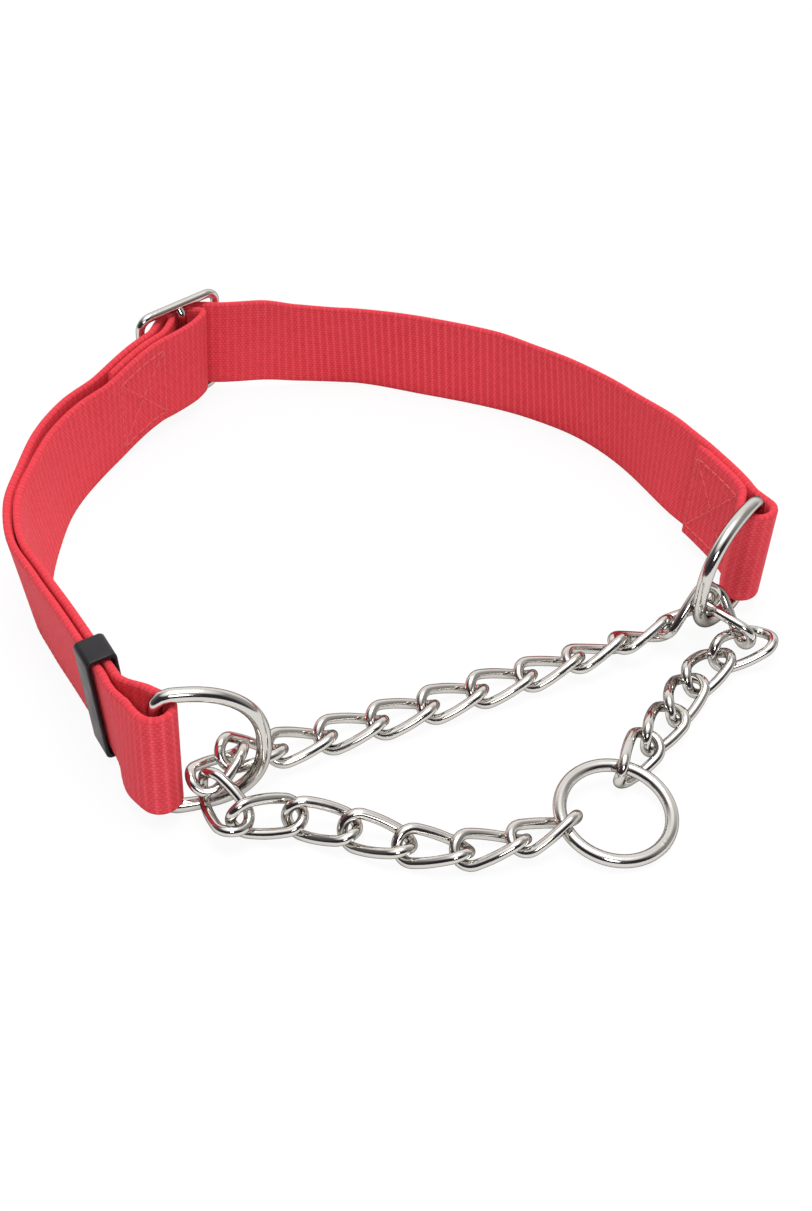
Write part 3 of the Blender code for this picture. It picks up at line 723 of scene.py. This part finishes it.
def build_strap(back, side, material):
    """The woven strap: ribs across it, beaded edges, and faces drawn in along the sewing."""
    points, firsts = strap_points(back, side)
    coarse, marks = route_with_marks(points, RIB_PITCH / RIB_SAMPLES)
    lengths = lengths_along(coarse)
    starts = {name: lengths[marks[first]] for name, first in firsts.items()}
    count = round(lengths[-1] / RIB_PITCH * RIB_SAMPLES)
    places = np.linspace(0.0, lengths[-1], count + 1)
    xs = np.interp(places, lengths, [p.x for p in coarse])
    ys = np.interp(places, lengths, [p.y for p in coarse])
    route = [Vector((x, y)) for x, y in zip(xs, ys)]

    tab = max(length for length in lengths_along(back) if length < TAB_LENGTH)
    right_box, left_box = box_starts(side)
    boxes = [
        (tab - right_box - STITCH_LENGTH, -1.0),
        (starts["back"] + right_box, 1.0),
        (starts["inner"] + left_box, -1.0),
    ]
    profile = strap_profile()
    out, share, face, edge = profile.T
    up_strap = (share + 1.0) / 2 * WEBBING_WIDTH - (WEBBING_WIDTH - STITCH_HEIGHT) / 2
    vertices = []
    for i, plan in enumerate(route):
        ahead = (route[min(i + 1, count)] - route[max(i - 1, 0)]).normalized()
        lean, lift = stance(plan)
        rise = math.sqrt(WEBBING_WIDTH ** 2 - lean.length_squared)
        foot = np.array((plan.x, plan.y, lift))
        width = np.array((lean.x, lean.y, rise))
        normal = np.array((*outward(ahead), 0.0))
        ridge = math.cos(2.0 * math.pi * places[i] / RIB_PITCH) - 1.0
        bead = abs(math.sin(math.pi * places[i] / BEAD_PITCH)) - 1.0
        swell = RIB_HEIGHT / 2 * ridge * (1.0 - np.abs(edge))
        for start, side_out in boxes:
            if start - RIB_PITCH < places[i] < start + STITCH_LENGTH + RIB_PITCH:
                along = np.full_like(up_strap, places[i] - start)
                swell -= np.where(face * side_out > 0.5, sewn_pull(along, up_strap), 0.0)
        thinner = (1.0 - TAB_END) * (1.0 - smoothstep(places[i] / TAB_THINS))
        swell -= np.where(face < 0.0, thinner * WEBBING_THICKNESS, 0.0)
        deep = out * WEBBING_THICKNESS / 2 + face * swell
        tuck = fold_tuck(plan) / WEBBING_WIDTH
        high = 0.5 + share * (0.5 - tuck) + edge * bead * BEAD_HEIGHT / WEBBING_WIDTH
        vertices.append(foot + high[:, None] * width + deep[:, None] * normal)
    faces = loop_faces(count + 1, len(profile), False)
    strap = add_piece("strap_woven", np.concatenate(vertices), faces, material,
                      "strap", "webbing", "webbing")
    mark_weave(strap.data, places, share)
    # Share of the painted rib highlight and shade at each station: full at mid-back and at the left fold,
    # fainter elsewhere
    back_gap = np.abs(places - starts["back"] - RIBS_BACK) / RIBS_REACH
    fold_gap = np.abs(places - starts["left_turn"] - math.pi / 2 * FOLD_RADIUS) / RIBS_FOLD_REACH
    near = np.exp(-np.minimum(back_gap, fold_gap) ** RIBS_FADE)
    ribs = strap.data.attributes.new("ribs", "FLOAT", "POINT")
    ribs.data.foreach_set("value", np.repeat(RIBS_FAINT + (1.0 - RIBS_FAINT) * near, len(profile)))


def mark_weave(mesh, places, share):
    """Map the strap's mesh in metres, along it and across it from its middle."""
    loops = np.zeros(len(mesh.loops), np.int32)
    mesh.loops.foreach_get("vertex_index", loops)
    station, place = np.divmod(loops, len(share))
    uv = np.stack([places[station], share[place] * WEBBING_WIDTH / 2], axis=1)
    mesh.uv_layers.new(name="weave").data.foreach_set("uv", uv.ravel())


def build_stitches(name, middle, start, offsets, out, material, *nodes):
    """Box of separate stitches, crossed from corner to corner, on one face of a sewn layer."""
    base = (WEBBING_WIDTH - STITCH_HEIGHT) / 2
    ends = np.sin(np.pi * np.linspace(THREAD_TIP, 1.0 - THREAD_TIP, THREAD_POINTS)) ** THREAD_TAPER
    vertices = []
    faces = []
    for a, b in box_lines():
        whole = math.dist(a, b)
        count = round(whole / THREAD_STEP)
        for k in range(count):
            points = []
            for j in range(THREAD_POINTS):
                bow = j / (THREAD_POINTS - 1)
                at = (k + 0.5 + (bow - 0.5) * THREAD_SPAN / THREAD_STEP) / count
                along, up = (a[m] + (b[m] - a[m]) * at for m in range(2))
                plan, direction = point_at(middle, start + along)
                rise = THREAD_LIFT * math.sin(math.pi * bow) ** THREAD_ARCH - THREAD_PULL
                plan += outward(direction) * (offsets(start + along) + out * (WEBBING_THICKNESS / 2 + rise))
                points.append(strap_point(plan, (base + up) / WEBBING_WIDTH))
            more, quads = tube(points, THREAD_RADIUS * ends, THREAD_SIDES, False)
            faces += [tuple(v + len(vertices) for v in quad) for quad in quads]
            vertices += more.tolist()
    add_piece(name, vertices, faces, material, "strap", "thread", *nodes)


def dee_outline():
    """Centreline of a dee in its own plane: the bar on Z, the bow towards +X."""
    half = WEBBING_WIDTH / 2 - FOLD_TUCK + FIT_GAP + DEE_WIRE / 2
    reach = DEE_DEPTH - DEE_WIRE / 2 - DEE_CORNER
    power = 2.0 / DEE_SQUARENESS
    points = []
    for k in range(DEE_POINTS + 1):
        t = math.pi * (k / DEE_POINTS - 0.5)
        across = reach * max(math.cos(t), 0.0) ** power
        up = half * math.copysign(abs(math.sin(t)) ** power, t)
        points.append(Vector((DEE_CORNER + across, 0.0, up)))
    for side in (1, -1):
        for k in range(DEE_CORNER_STEPS):
            turned = (k + 1) / DEE_CORNER_STEPS if side > 0 else 1.0 - k / DEE_CORNER_STEPS
            t = math.pi / 2 * turned
            x = DEE_CORNER * (1.0 - math.sin(t))
            z = half - DEE_CORNER * (1.0 - math.cos(t))
            points.append(Vector((x, 0.0, side * z)))
    return points


def build_dee(side, bar, bow, material):
    """Wire dee whose welded straight bar lies in the strap's fold."""
    points = dee_outline()
    seam = len(points) - DEE_CORNER_STEPS - 1
    node = f"{side}_dee"
    place = strap_frame(Vector(bar), Vector(bow), 0.5)
    add_wire(f"{node}_wire", points, DEE_WIRE, WIRE_SIDES, seam, place, material, node, node)


def slide_outline():
    """Centreline of the slide's wire frame about its centre bar."""
    points = []
    for turn, (x, z) in enumerate(((1, 1), (-1, 1), (-1, -1), (1, -1))):
        for k in range(SLIDE_CORNER_POINTS):
            t = math.pi / 2 * (turn + k / (SLIDE_CORNER_POINTS - 1))
            points.append(Vector((
                x * (RAIL_PLACE - SLIDE_CORNER) + SLIDE_CORNER * math.cos(t), -SLIDE_BAR_SET,
                z * (SLIDE_HIGH - SLIDE_CORNER) + SLIDE_CORNER * math.sin(t))))
    return points


def even_loop(points, step):
    """Points about a step apart round a closed loop of straight lines."""
    loop = [*points, points[0]]
    lengths = lengths_along(loop)
    count = round(lengths[-1] / step)
    return [point_at(loop, lengths[-1] * k / count)[0] for k in range(count)]


def build_slide(material):
    """Slide: a welded frame of wire, and the centre bar that is welded across it."""
    axis = Vector(SLIDE_ALONG).normalized()
    place = strap_frame(Vector(SLIDE_CENTRE), axis, 0.5) @ Matrix.Translation((0.0, SLIDE_BAR_SET, 0.0))
    points = [place @ p for p in even_loop(slide_outline(), SLIDE_STEP)]
    weld = place @ Vector(SLIDE_SEAM)
    seam = min(range(len(points)), key=lambda k: (points[k] - weld).length)
    vertices, faces = tube(points, seam_radii(points, SLIDE_WIRE, seam), WIRE_SIDES, True)
    line = []
    radii = []
    for k in range(SLIDE_BAR_STEPS + 1):
        share = 2.0 * k / SLIDE_BAR_STEPS - 1.0
        bent = smoothstep((abs(share) - SLIDE_BAR_BEND) / (1.0 - SLIDE_BAR_BEND))
        line.append(place @ Vector((0.0, -SLIDE_BAR_SET * bent, SLIDE_HIGH * share)))
        radii.append(SLIDE_WIRE / 2 * (1.0 - SLIDE_BAR_NECK * bent))
    bar, bar_faces = tube(line, radii, WIRE_SIDES, False)
    faces += [tuple(v + len(vertices) for v in face) for face in bar_faces]
    vertices = np.concatenate([vertices, bar])
    add_piece("slide_wire", vertices, faces, material, "slide", "metal", "slide")


def build_keeper(side, material):
    """Moulded keeper: a flat loop with rounded corners and edges round both layers of the strap."""
    plan, direction = point_at(side, KEEPER_FROM_FOLD)
    place = strap_frame(plan, -direction, 0.5)
    deep = (WEBBING_THICKNESS + LAYER_PITCH) / 2 + KEEPER_GAP
    high = WEBBING_WIDTH / 2 + KEEPER_GAP
    band = []
    for turn, (x, outer) in enumerate(((1, True), (-1, True), (-1, False), (1, False))):
        for k in range(KEEPER_EDGE_POINTS):
            t = math.pi / 2 * (turn + k / (KEEPER_EDGE_POINTS - 1))
            across = x * (KEEPER_BAND / 2 - KEEPER_EDGE) + KEEPER_EDGE * math.cos(t)
            out = (KEEPER_WALL - KEEPER_EDGE if outer else KEEPER_EDGE) + KEEPER_EDGE * math.sin(t)
            band.append((across, out))
    vertices = []
    rings = 0
    for turn, (y, z) in enumerate(((1, 1), (-1, 1), (-1, -1), (1, -1))):
        for k in range(KEEPER_CORNER_POINTS):
            t = math.pi / 2 * (turn + k / (KEEPER_CORNER_POINTS - 1))
            for across, out in band:
                ease = KEEPER_INNER_EASE * (1.0 - out / KEEPER_WALL)
                corner = KEEPER_CORNER - KEEPER_WALL + out + ease
                vertices.append(place @ Vector((
                    across, y * (deep + out - corner) + corner * math.cos(t),
                    z * (high + out - corner) + corner * math.sin(t))))
            rings += 1
    faces = [face[::-1] for face in loop_faces(rings, len(band), True)]
    add_piece("keeper_band", vertices, faces, material, "keeper", "plastic", "keeper")


def link_outline(pitch):
    """Centreline of one curb link from its start at x = 0: a long loop twisted end to end."""
    length = pitch + CHAIN_WIRE + CHAIN_PLAY
    bow = (LINK_INNER_WIDTH + CHAIN_WIRE) / 2
    straight = length - 2 * bow
    flat = []
    for end in (1, -1):
        for k in range(LINK_BOW_POINTS):
            t = math.pi * (k / (LINK_BOW_POINTS - 1) - 0.5)
            flat.append((end * (straight / 2 + bow * math.cos(t)), end * bow * math.sin(t)))
        for k in range(1, LINK_SIDE_POINTS + 1):
            flat.append((end * straight * (0.5 - k / (LINK_SIDE_POINTS + 1)), end * bow))
    points = []
    for x, across in flat:
        turn = LINK_TWIST * x / length
        points.append(Vector((x + pitch / 2, across * math.cos(turn), across * math.sin(turn))))
    return points


def even_places(points, count):
    """Start and end points of evenly spaced links along the smooth curve through some points."""
    route = smooth_route([Vector(p) for p in points], CHAIN_STEP)
    whole = lengths_along(route)[-1]
    return [point_at(route, whole * k / count)[0] for k in range(count + 1)]


def ring_frame():
    """Matrix of the leash ring, which lies on the table with one side raised on the chain."""
    reach = (RING_OUTER - RING_WIRE) / 2
    height = RING_WIRE / 2 + reach * math.sin(RING_TILT)
    lean = Matrix.Rotation(RING_HIGH_SIDE, 4, "Z") @ Matrix.Rotation(-RING_TILT, 4, "Y")
    return Matrix.Translation((*RING_CENTRE, height)) @ lean


def ring_contact(degrees):
    """Point where a link that comes in from a direction is threaded by the leash ring."""
    reach = (RING_OUTER - RING_WIRE) / 2 - RING_WIRE / 2 - CHAIN_PLAY / 2
    turn = math.radians(degrees) - RING_HIGH_SIDE
    return ring_frame() @ Vector((reach * math.cos(turn), reach * math.sin(turn), 0.0))


def chain_links():
    """Every link's name, start, end and roll, in order round the chain."""
    left = Vector(LEFT_BAR).to_3d()
    right = (Vector(RIGHT_BAR) + Vector(RIGHT_BOW).normalized() * DEE_DEPTH).to_3d()
    links = []
    for corner, turns in ((left, LEFT_TURNS), (right, RIGHT_TURNS)):
        for name, (start, end, roll) in turns.items():
            links.append((name, corner + Vector(start), corner + Vector(end), roll))
    back_run = [left + Vector(BACK_START), *BACK_RUN, right + Vector(BACK_END)]
    front_run = [left + Vector(FRONT_START), *FRONT_RUN, ring_contact(FRONT_CONTACT)]
    right_run = [right + Vector(RIGHT_START), *RIGHT_RUN, ring_contact(RIGHT_CONTACT)]
    runs = [
        ("back", 1, back_run, BACK_ROLLS),
        ("front", 4, front_run, FRONT_ROLLS),
        ("right", 3, right_run, RIGHT_ROLLS),
    ]
    for run, first, points, rolls in runs:
        stops = even_places(points, len(rolls))
        for i, roll in enumerate(rolls):
            links.append((f"{run}_link_{first + i:02d}", stops[i], stops[i + 1], roll))
    return sorted(links, key=lambda link: link[0])


def build_chain(material):
    """Every link of the curb chain, each welded on one of its sides."""
    for number, (name, start, end, roll) in enumerate(chain_links()):
        points = link_outline((end - start).length)
        along = (end - start).normalized()
        across = Vector((0.0, 0.0, 1.0)).cross(along).normalized()
        axes = Matrix((along, across, along.cross(across))).transposed().to_4x4()
        place = Matrix.Translation(start) @ axes @ Matrix.Rotation(math.radians(roll), 4, "X")
        seam = LINK_BOW_POINTS + LINK_SIDE_POINTS // 2
        if number % 2:
            seam += LINK_BOW_POINTS + LINK_SIDE_POINTS
        add_wire(f"{name}_wire", points, CHAIN_WIRE, LINK_SIDES, seam, place, material, name, name)


def build_ring(material):
    """Leash ring with its weld."""
    reach = (RING_OUTER - RING_WIRE) / 2
    turns = [2.0 * math.pi * k / RING_POINTS for k in range(RING_POINTS)]
    points = [Vector((reach * math.cos(t), reach * math.sin(t), 0.0)) for t in turns]
    weld = (math.radians(RING_SEAM) - RING_HIGH_SIDE) / (2.0 * math.pi)
    seam = round(weld * RING_POINTS) % RING_POINTS
    add_wire("leash_ring_wire", points, RING_WIRE, WIRE_SIDES, seam, ring_frame(), material,
             "leash_ring", "leash_ring")


class Nodes:
    """Shader nodes of one material or world, made and joined in short calls."""

    def __init__(self, tree):
        self.tree = tree

    def put(self, socket, value):
        if isinstance(value, bpy.types.NodeSocket):
            self.tree.links.new(value, socket)
        else:
            socket.default_value = value

    def add(self, kind, values=None, **settings):
        node = self.tree.nodes.new(kind)
        for key, value in settings.items():
            setattr(node, key, value)
        for key, value in (values or {}).items():
            self.put(node.inputs[key], value)
        return node

    def math(self, operation, first, second=0.0, third=0.0):
        node = self.add("ShaderNodeMath", {0: first, 1: second, 2: third}, operation=operation)
        return node.outputs[0]

    def noise(self, vector, scale, detail=2.0):
        node = self.add("ShaderNodeTexNoise", {"Vector": vector, "Scale": scale, "Detail": detail})
        return node.outputs["Fac"]

    def ramp(self, value, low, high, start, end):
        values = {"Value": value, "From Min": low, "From Max": high, "To Min": start, "To Max": end}
        return self.add("ShaderNodeMapRange", values).outputs["Result"]

    def bump(self, height, strength, distance):
        values = {"Height": height, "Strength": strength, "Distance": distance}
        return self.add("ShaderNodeBump", values).outputs[0]

    def spot(self):
        return self.add("ShaderNodeTexCoord").outputs["Object"]

    def mix(self, share, first, second):
        node = self.add("ShaderNodeMix", data_type="RGBA")
        for key, value in (("Factor", share), ("A", first), ("B", second)):
            self.put(next(s for s in node.inputs if s.name == key and s.enabled), value)
        return next(s for s in node.outputs if s.enabled)


def new_material(name):
    """An empty material with its Principled shader, and its node maker."""
    material = bpy.data.materials.new(name)
    material.use_nodes = True
    return material, Nodes(material.node_tree), material.node_tree.nodes["Principled BSDF"]


def settle(nodes, shader, **sockets):
    """Link or set a shader's sockets, named with _ for each space."""
    for key, value in sockets.items():
        nodes.put(shader.inputs[key.replace("_", " ")], value)


def waves(nodes, place, pitch):
    """Row of rounded humps, 0 to 1 and back, one to each pitch along a place in metres."""
    return nodes.math("ABSOLUTE", nodes.math("SINE", nodes.math("MULTIPLY", place, math.pi / pitch)))


def nylon_material():
    """Red nylon webbing: beaded ribs across with painted highlight on their crests and painted shade in
    their valleys, dots of warp thread along, painted shade along the edges, uneven dye.
    """
    material, nodes, shader = new_material("red_nylon_weave")
    weave = nodes.add("ShaderNodeUVMap", uv_map="weave").outputs[0]
    parts = nodes.add("ShaderNodeSeparateXYZ", {0: weave})
    along, across = parts.outputs[0], parts.outputs[1]
    spot = nodes.spot()
    rib_light_share = nodes.add("ShaderNodeAttribute", attribute_name="ribs").outputs["Fac"]
    fibre = nodes.noise(spot, FIBRE_SCALE, 2.0)
    wander = nodes.noise(spot, WANDER_SCALE, 3.0)
    column = nodes.math("FLOOR", nodes.math("DIVIDE", across, WARP_PITCH))
    lap = nodes.math("MULTIPLY_ADD", nodes.math("MODULO", column, 2.0), FLOAT_PITCH / 2, along)
    thread = waves(nodes, across, WARP_PITCH)
    dots = nodes.math("MULTIPLY", waves(nodes, lap, FLOAT_PITCH), thread)
    valley = waves(nodes, along, RIB_PITCH)
    crest_highlight = nodes.math("POWER", nodes.math("SUBTRACT", 1.0, valley), 2.0)
    crest_highlight = nodes.math("MULTIPLY", crest_highlight, nodes.ramp(thread, 0.0, 1.0, CREST_HIGHLIGHT_BETWEEN, 1.0))
    beads = waves(nodes, along, BEAD_PITCH)
    border = nodes.ramp(nodes.math("ABSOLUTE", across), WEBBING_WIDTH / 2 - BORDER,
                        WEBBING_WIDTH / 2 - BORDER / 3, 0.0, 1.0)

    height = nodes.math("MULTIPLY_ADD", fibre, FIBRE_RELIEF, nodes.math("MULTIPLY", dots, DOT_RELIEF))
    height = nodes.math("MULTIPLY_ADD", nodes.math("MULTIPLY", beads, border), BEAD_RELIEF, height)
    bump = nodes.bump(height, *NYLON_BUMP)

    # Painted highlight on the rib crests and painted shade in their valleys, scaled by the ribs attribute
    rib_light_and_shade = nodes.math("MULTIPLY_ADD", valley, VALLEY_SHADE, nodes.math("MULTIPLY", crest_highlight, CREST_HIGHLIGHT))
    tone = nodes.math("MULTIPLY", rib_light_and_shade, rib_light_share)
    tone = nodes.math("MULTIPLY_ADD", dots, DOT_TONE, tone)
    tone = nodes.math("MULTIPLY_ADD", wander, WANDER_TONE, tone)
    colour = nodes.mix(nodes.ramp(tone, *TONE_RANGE, 0.0, 1.0), NYLON_DEEP, NYLON_PALE)
    patch = nodes.ramp(nodes.noise(spot, PATCH_SCALE, 2.0), *PATCH_RANGE, 0.0, PATCH_SHARE)
    colour = nodes.mix(patch, colour, NYLON_PATCH)
    # Painted shade along the strap's edges, weaker on the beads
    dark = nodes.ramp(beads, *BEAD_RANGE, EDGE_SHADE_BETWEEN, EDGE_SHADE_ON_BEAD)
    colour = nodes.mix(nodes.math("MULTIPLY", border, dark), colour, NYLON_EDGE_SHADE)
    rough = nodes.ramp(fibre, *NOISE_MIDDLE, *NYLON_ROUGH)
    settle(nodes, shader, Base_Color=colour, Roughness=rough, Normal=bump, Specular_IOR_Level=WOVEN_GLOSS,
           **NYLON_SHEEN)
    return material


def thread_material():
    """Bonded red thread, a little paler than the webbing, with a twisted lay."""
    material, nodes, shader = new_material("red_thread_lay")
    spot = nodes.spot()
    wave = nodes.add("ShaderNodeTexWave", {"Vector": spot, "Scale": LAY_SCALE, "Distortion": LAY_BEND},
                     bands_direction="DIAGONAL")
    lay = wave.outputs["Fac"]
    colour = nodes.mix(lay, THREAD_DEEP, THREAD_PALE)
    bump = nodes.bump(lay, *THREAD_BUMP)
    rough = nodes.ramp(nodes.noise(spot, FUZZ_SCALE), *NOISE_MIDDLE, *THREAD_ROUGH)
    settle(nodes, shader, Base_Color=colour, Roughness=rough, Normal=bump, Specular_IOR_Level=WOVEN_GLOSS)
    return material


def nickel_material():
    """Bright nickel plate: faintly warm, with small ripples, rubbed patches, and a dark edge tint that
    paints shade on the wire's rims.
    """
    material, nodes, shader = new_material("nickel_plate_bright")
    spot = nodes.spot()
    broad = nodes.noise(spot, BROAD_SCALE, 3.0)
    fine = nodes.noise(spot, RIPPLE_SCALE, 2.0)
    colour = nodes.mix(broad, NICKEL_DEEP, NICKEL_PALE)
    rough = nodes.ramp(nodes.math("MULTIPLY_ADD", fine, RIPPLE_ROUGH, broad), *NICKEL_RANGE, *NICKEL_ROUGH)
    bump = nodes.bump(nodes.math("MULTIPLY_ADD", fine, RIPPLE_RELIEF, broad), *NICKEL_BUMP)
    # The specular tint is a dark edge tint: painted shade on the wire's rims
    settle(nodes, shader, Base_Color=colour, Roughness=rough, Normal=bump, Metallic=1.0,
           Specular_Tint=NICKEL_RIM_SHADE)
    return material


def acetal_material():
    """Black moulded acetal with a satin skin."""
    material, nodes, shader = new_material("black_acetal_satin")
    spot = nodes.spot()
    grain = nodes.noise(spot, GRAIN_SCALE, 3.0)
    cloud = nodes.noise(spot, CLOUD_SCALE, 2.0)
    colour = nodes.mix(cloud, ACETAL_DEEP, ACETAL_PALE)
    rough = nodes.ramp(nodes.math("MULTIPLY_ADD", grain, GRAIN_ROUGH, cloud), *ACETAL_RANGE, *ACETAL_ROUGH)
    bump = nodes.bump(grain, *ACETAL_BUMP)
    settle(nodes, shader, Base_Color=colour, Roughness=rough, Normal=bump, Specular_IOR_Level=ACETAL_GLOSS)
    return material


def seen_through(nodes, path):
    """1 where the camera looks at a surface, straight or through glass, and 0 elsewhere."""
    return nodes.math("MAXIMUM", path["Is Camera Ray"], path["Is Transmission Ray"])


def build_floor():
    """White sweep under the collar, which keeps a soft shadow."""
    corners = [(x * FLOOR_REACH, y * FLOOR_REACH, 0.0) for x, y in ((-1, -1), (1, -1), (1, 1), (-1, 1))]
    mesh = bpy.data.meshes.new("floor")
    mesh.from_pydata(corners, [], [(0, 1, 2, 3)])
    floor = bpy.data.objects.new("floor", mesh)
    floor.location.z = cad_box[0].z - FLOOR_GAP
    bpy.context.scene.collection.objects.link(floor)
    material = bpy.data.materials.new("white_sweep")
    material.use_nodes = True
    nodes = Nodes(material.node_tree)
    nodes.tree.nodes.clear()
    matt = nodes.add("ShaderNodeBsdfDiffuse", {"Color": FLOOR_MATT})
    glow = nodes.add("ShaderNodeEmission", {"Strength": 1.0})
    path = nodes.add("ShaderNodeLightPath").outputs
    seen = seen_through(nodes, path)
    mirrored = nodes.math("MULTIPLY", path["Is Glossy Ray"], MIRRORED_GLOW)
    share = nodes.math("MULTIPLY_ADD", seen, FLOOR_GLOW, mirrored)
    both = nodes.add("ShaderNodeMixShader", {0: share, 1: matt.outputs[0], 2: glow.outputs[0]})
    nodes.add("ShaderNodeOutputMaterial", {"Surface": both.outputs[0]})
    mesh.materials.append(material)


def build_world():
    """White studio: bright above and behind the collar, greyer at its sides, dark behind the camera."""
    world = bpy.data.worlds.new("studio")
    bpy.context.scene.world = world
    world.use_nodes = True
    nodes = Nodes(world.node_tree)
    nodes.tree.nodes.clear()
    toward = nodes.add("ShaderNodeTexCoord").outputs["Generated"]
    parts = nodes.add("ShaderNodeSeparateXYZ", {0: toward})
    side = nodes.ramp(parts.outputs[0], *SIDE_SPAN, 0.0, 1.0)
    back = nodes.ramp(parts.outputs[1], *BACK_SPAN, 0.0, 1.0)
    front = nodes.ramp(parts.outputs[1], *FRONT_SPAN, 0.0, 1.0)
    above = nodes.ramp(parts.outputs[2], *TOP_SPAN, 0.0, 1.0)
    walls = nodes.mix(side, WALL_LEFT, WALL_RIGHT)
    walls = nodes.mix(back, walls, WALL_BACK)
    walls = nodes.mix(front, walls, WALL_FRONT)
    studio = nodes.mix(above, walls, CEILING)
    path = nodes.add("ShaderNodeLightPath").outputs
    colour = nodes.mix(seen_through(nodes, path), studio, WHITE)
    sky = nodes.add("ShaderNodeBackground", {"Color": colour, "Strength": 1.0})
    nodes.add("ShaderNodeOutputWorld", {"Surface": sky.outputs[0]})


def add_softbox(name, place, size, power):
    """Large square lamp that faces the collar."""
    lamp = bpy.data.lights.new(name, "AREA")
    lamp.shape = "RECTANGLE"
    lamp.size, lamp.size_y = size
    lamp.energy = power
    softbox = bpy.data.objects.new(name, lamp)
    softbox.location = place
    softbox.rotation_euler = (-Vector(place)).to_track_quat("-Z", "Y").to_euler()
    bpy.context.scene.collection.objects.link(softbox)


def build_camera():
    """Camera where the photographer's stood."""
    data = bpy.data.cameras.new("camera")
    data.sensor_width = SENSOR
    data.lens = FOCAL_PIXELS / max(IMAGE_SIZE) * SENSOR
    data.clip_start, data.clip_end = CLIP
    camera = bpy.data.objects.new("camera", data)
    camera.location = Vector(CAMERA_PLACE) + shift_to_frame()
    camera.rotation_euler = (math.pi / 2 - CAMERA_DOWN, 0.0, 0.0)
    bpy.context.scene.collection.objects.link(camera)
    bpy.context.scene.camera = camera


def dress_collar():
    """All of the collar's pieces."""
    nylon = nylon_material()
    thread = thread_material()
    nickel = nickel_material()
    back = back_middle()
    side = side_middle()
    build_strap(back, side, nylon)
    right_box, left_box = box_starts(side)
    build_stitches("right_tab_stitches", back, right_box, sewn_offset, -1, thread, "right_stitch")
    build_stitches("right_back_stitches", back, right_box, back_offset, 1, thread)
    build_stitches("left_loop_stitches", side, left_box, lambda d: side_offset(side, d), 1, thread,
                   "left_stitch")
    build_dee("left", LEFT_BAR, LEFT_BOW, nickel)
    build_dee("right", RIGHT_BAR, RIGHT_BOW, nickel)
    build_slide(nickel)
    build_keeper(side, acetal_material())
    build_ring(nickel)
    build_chain(nickel)


dress_collar()
build_floor()
build_world()
for softbox_row in SOFTBOXES:
    add_softbox(*softbox_row)
build_camera()
bpy.context.scene.view_settings.view_transform = "Standard"
bpy.context.view_layer.update()
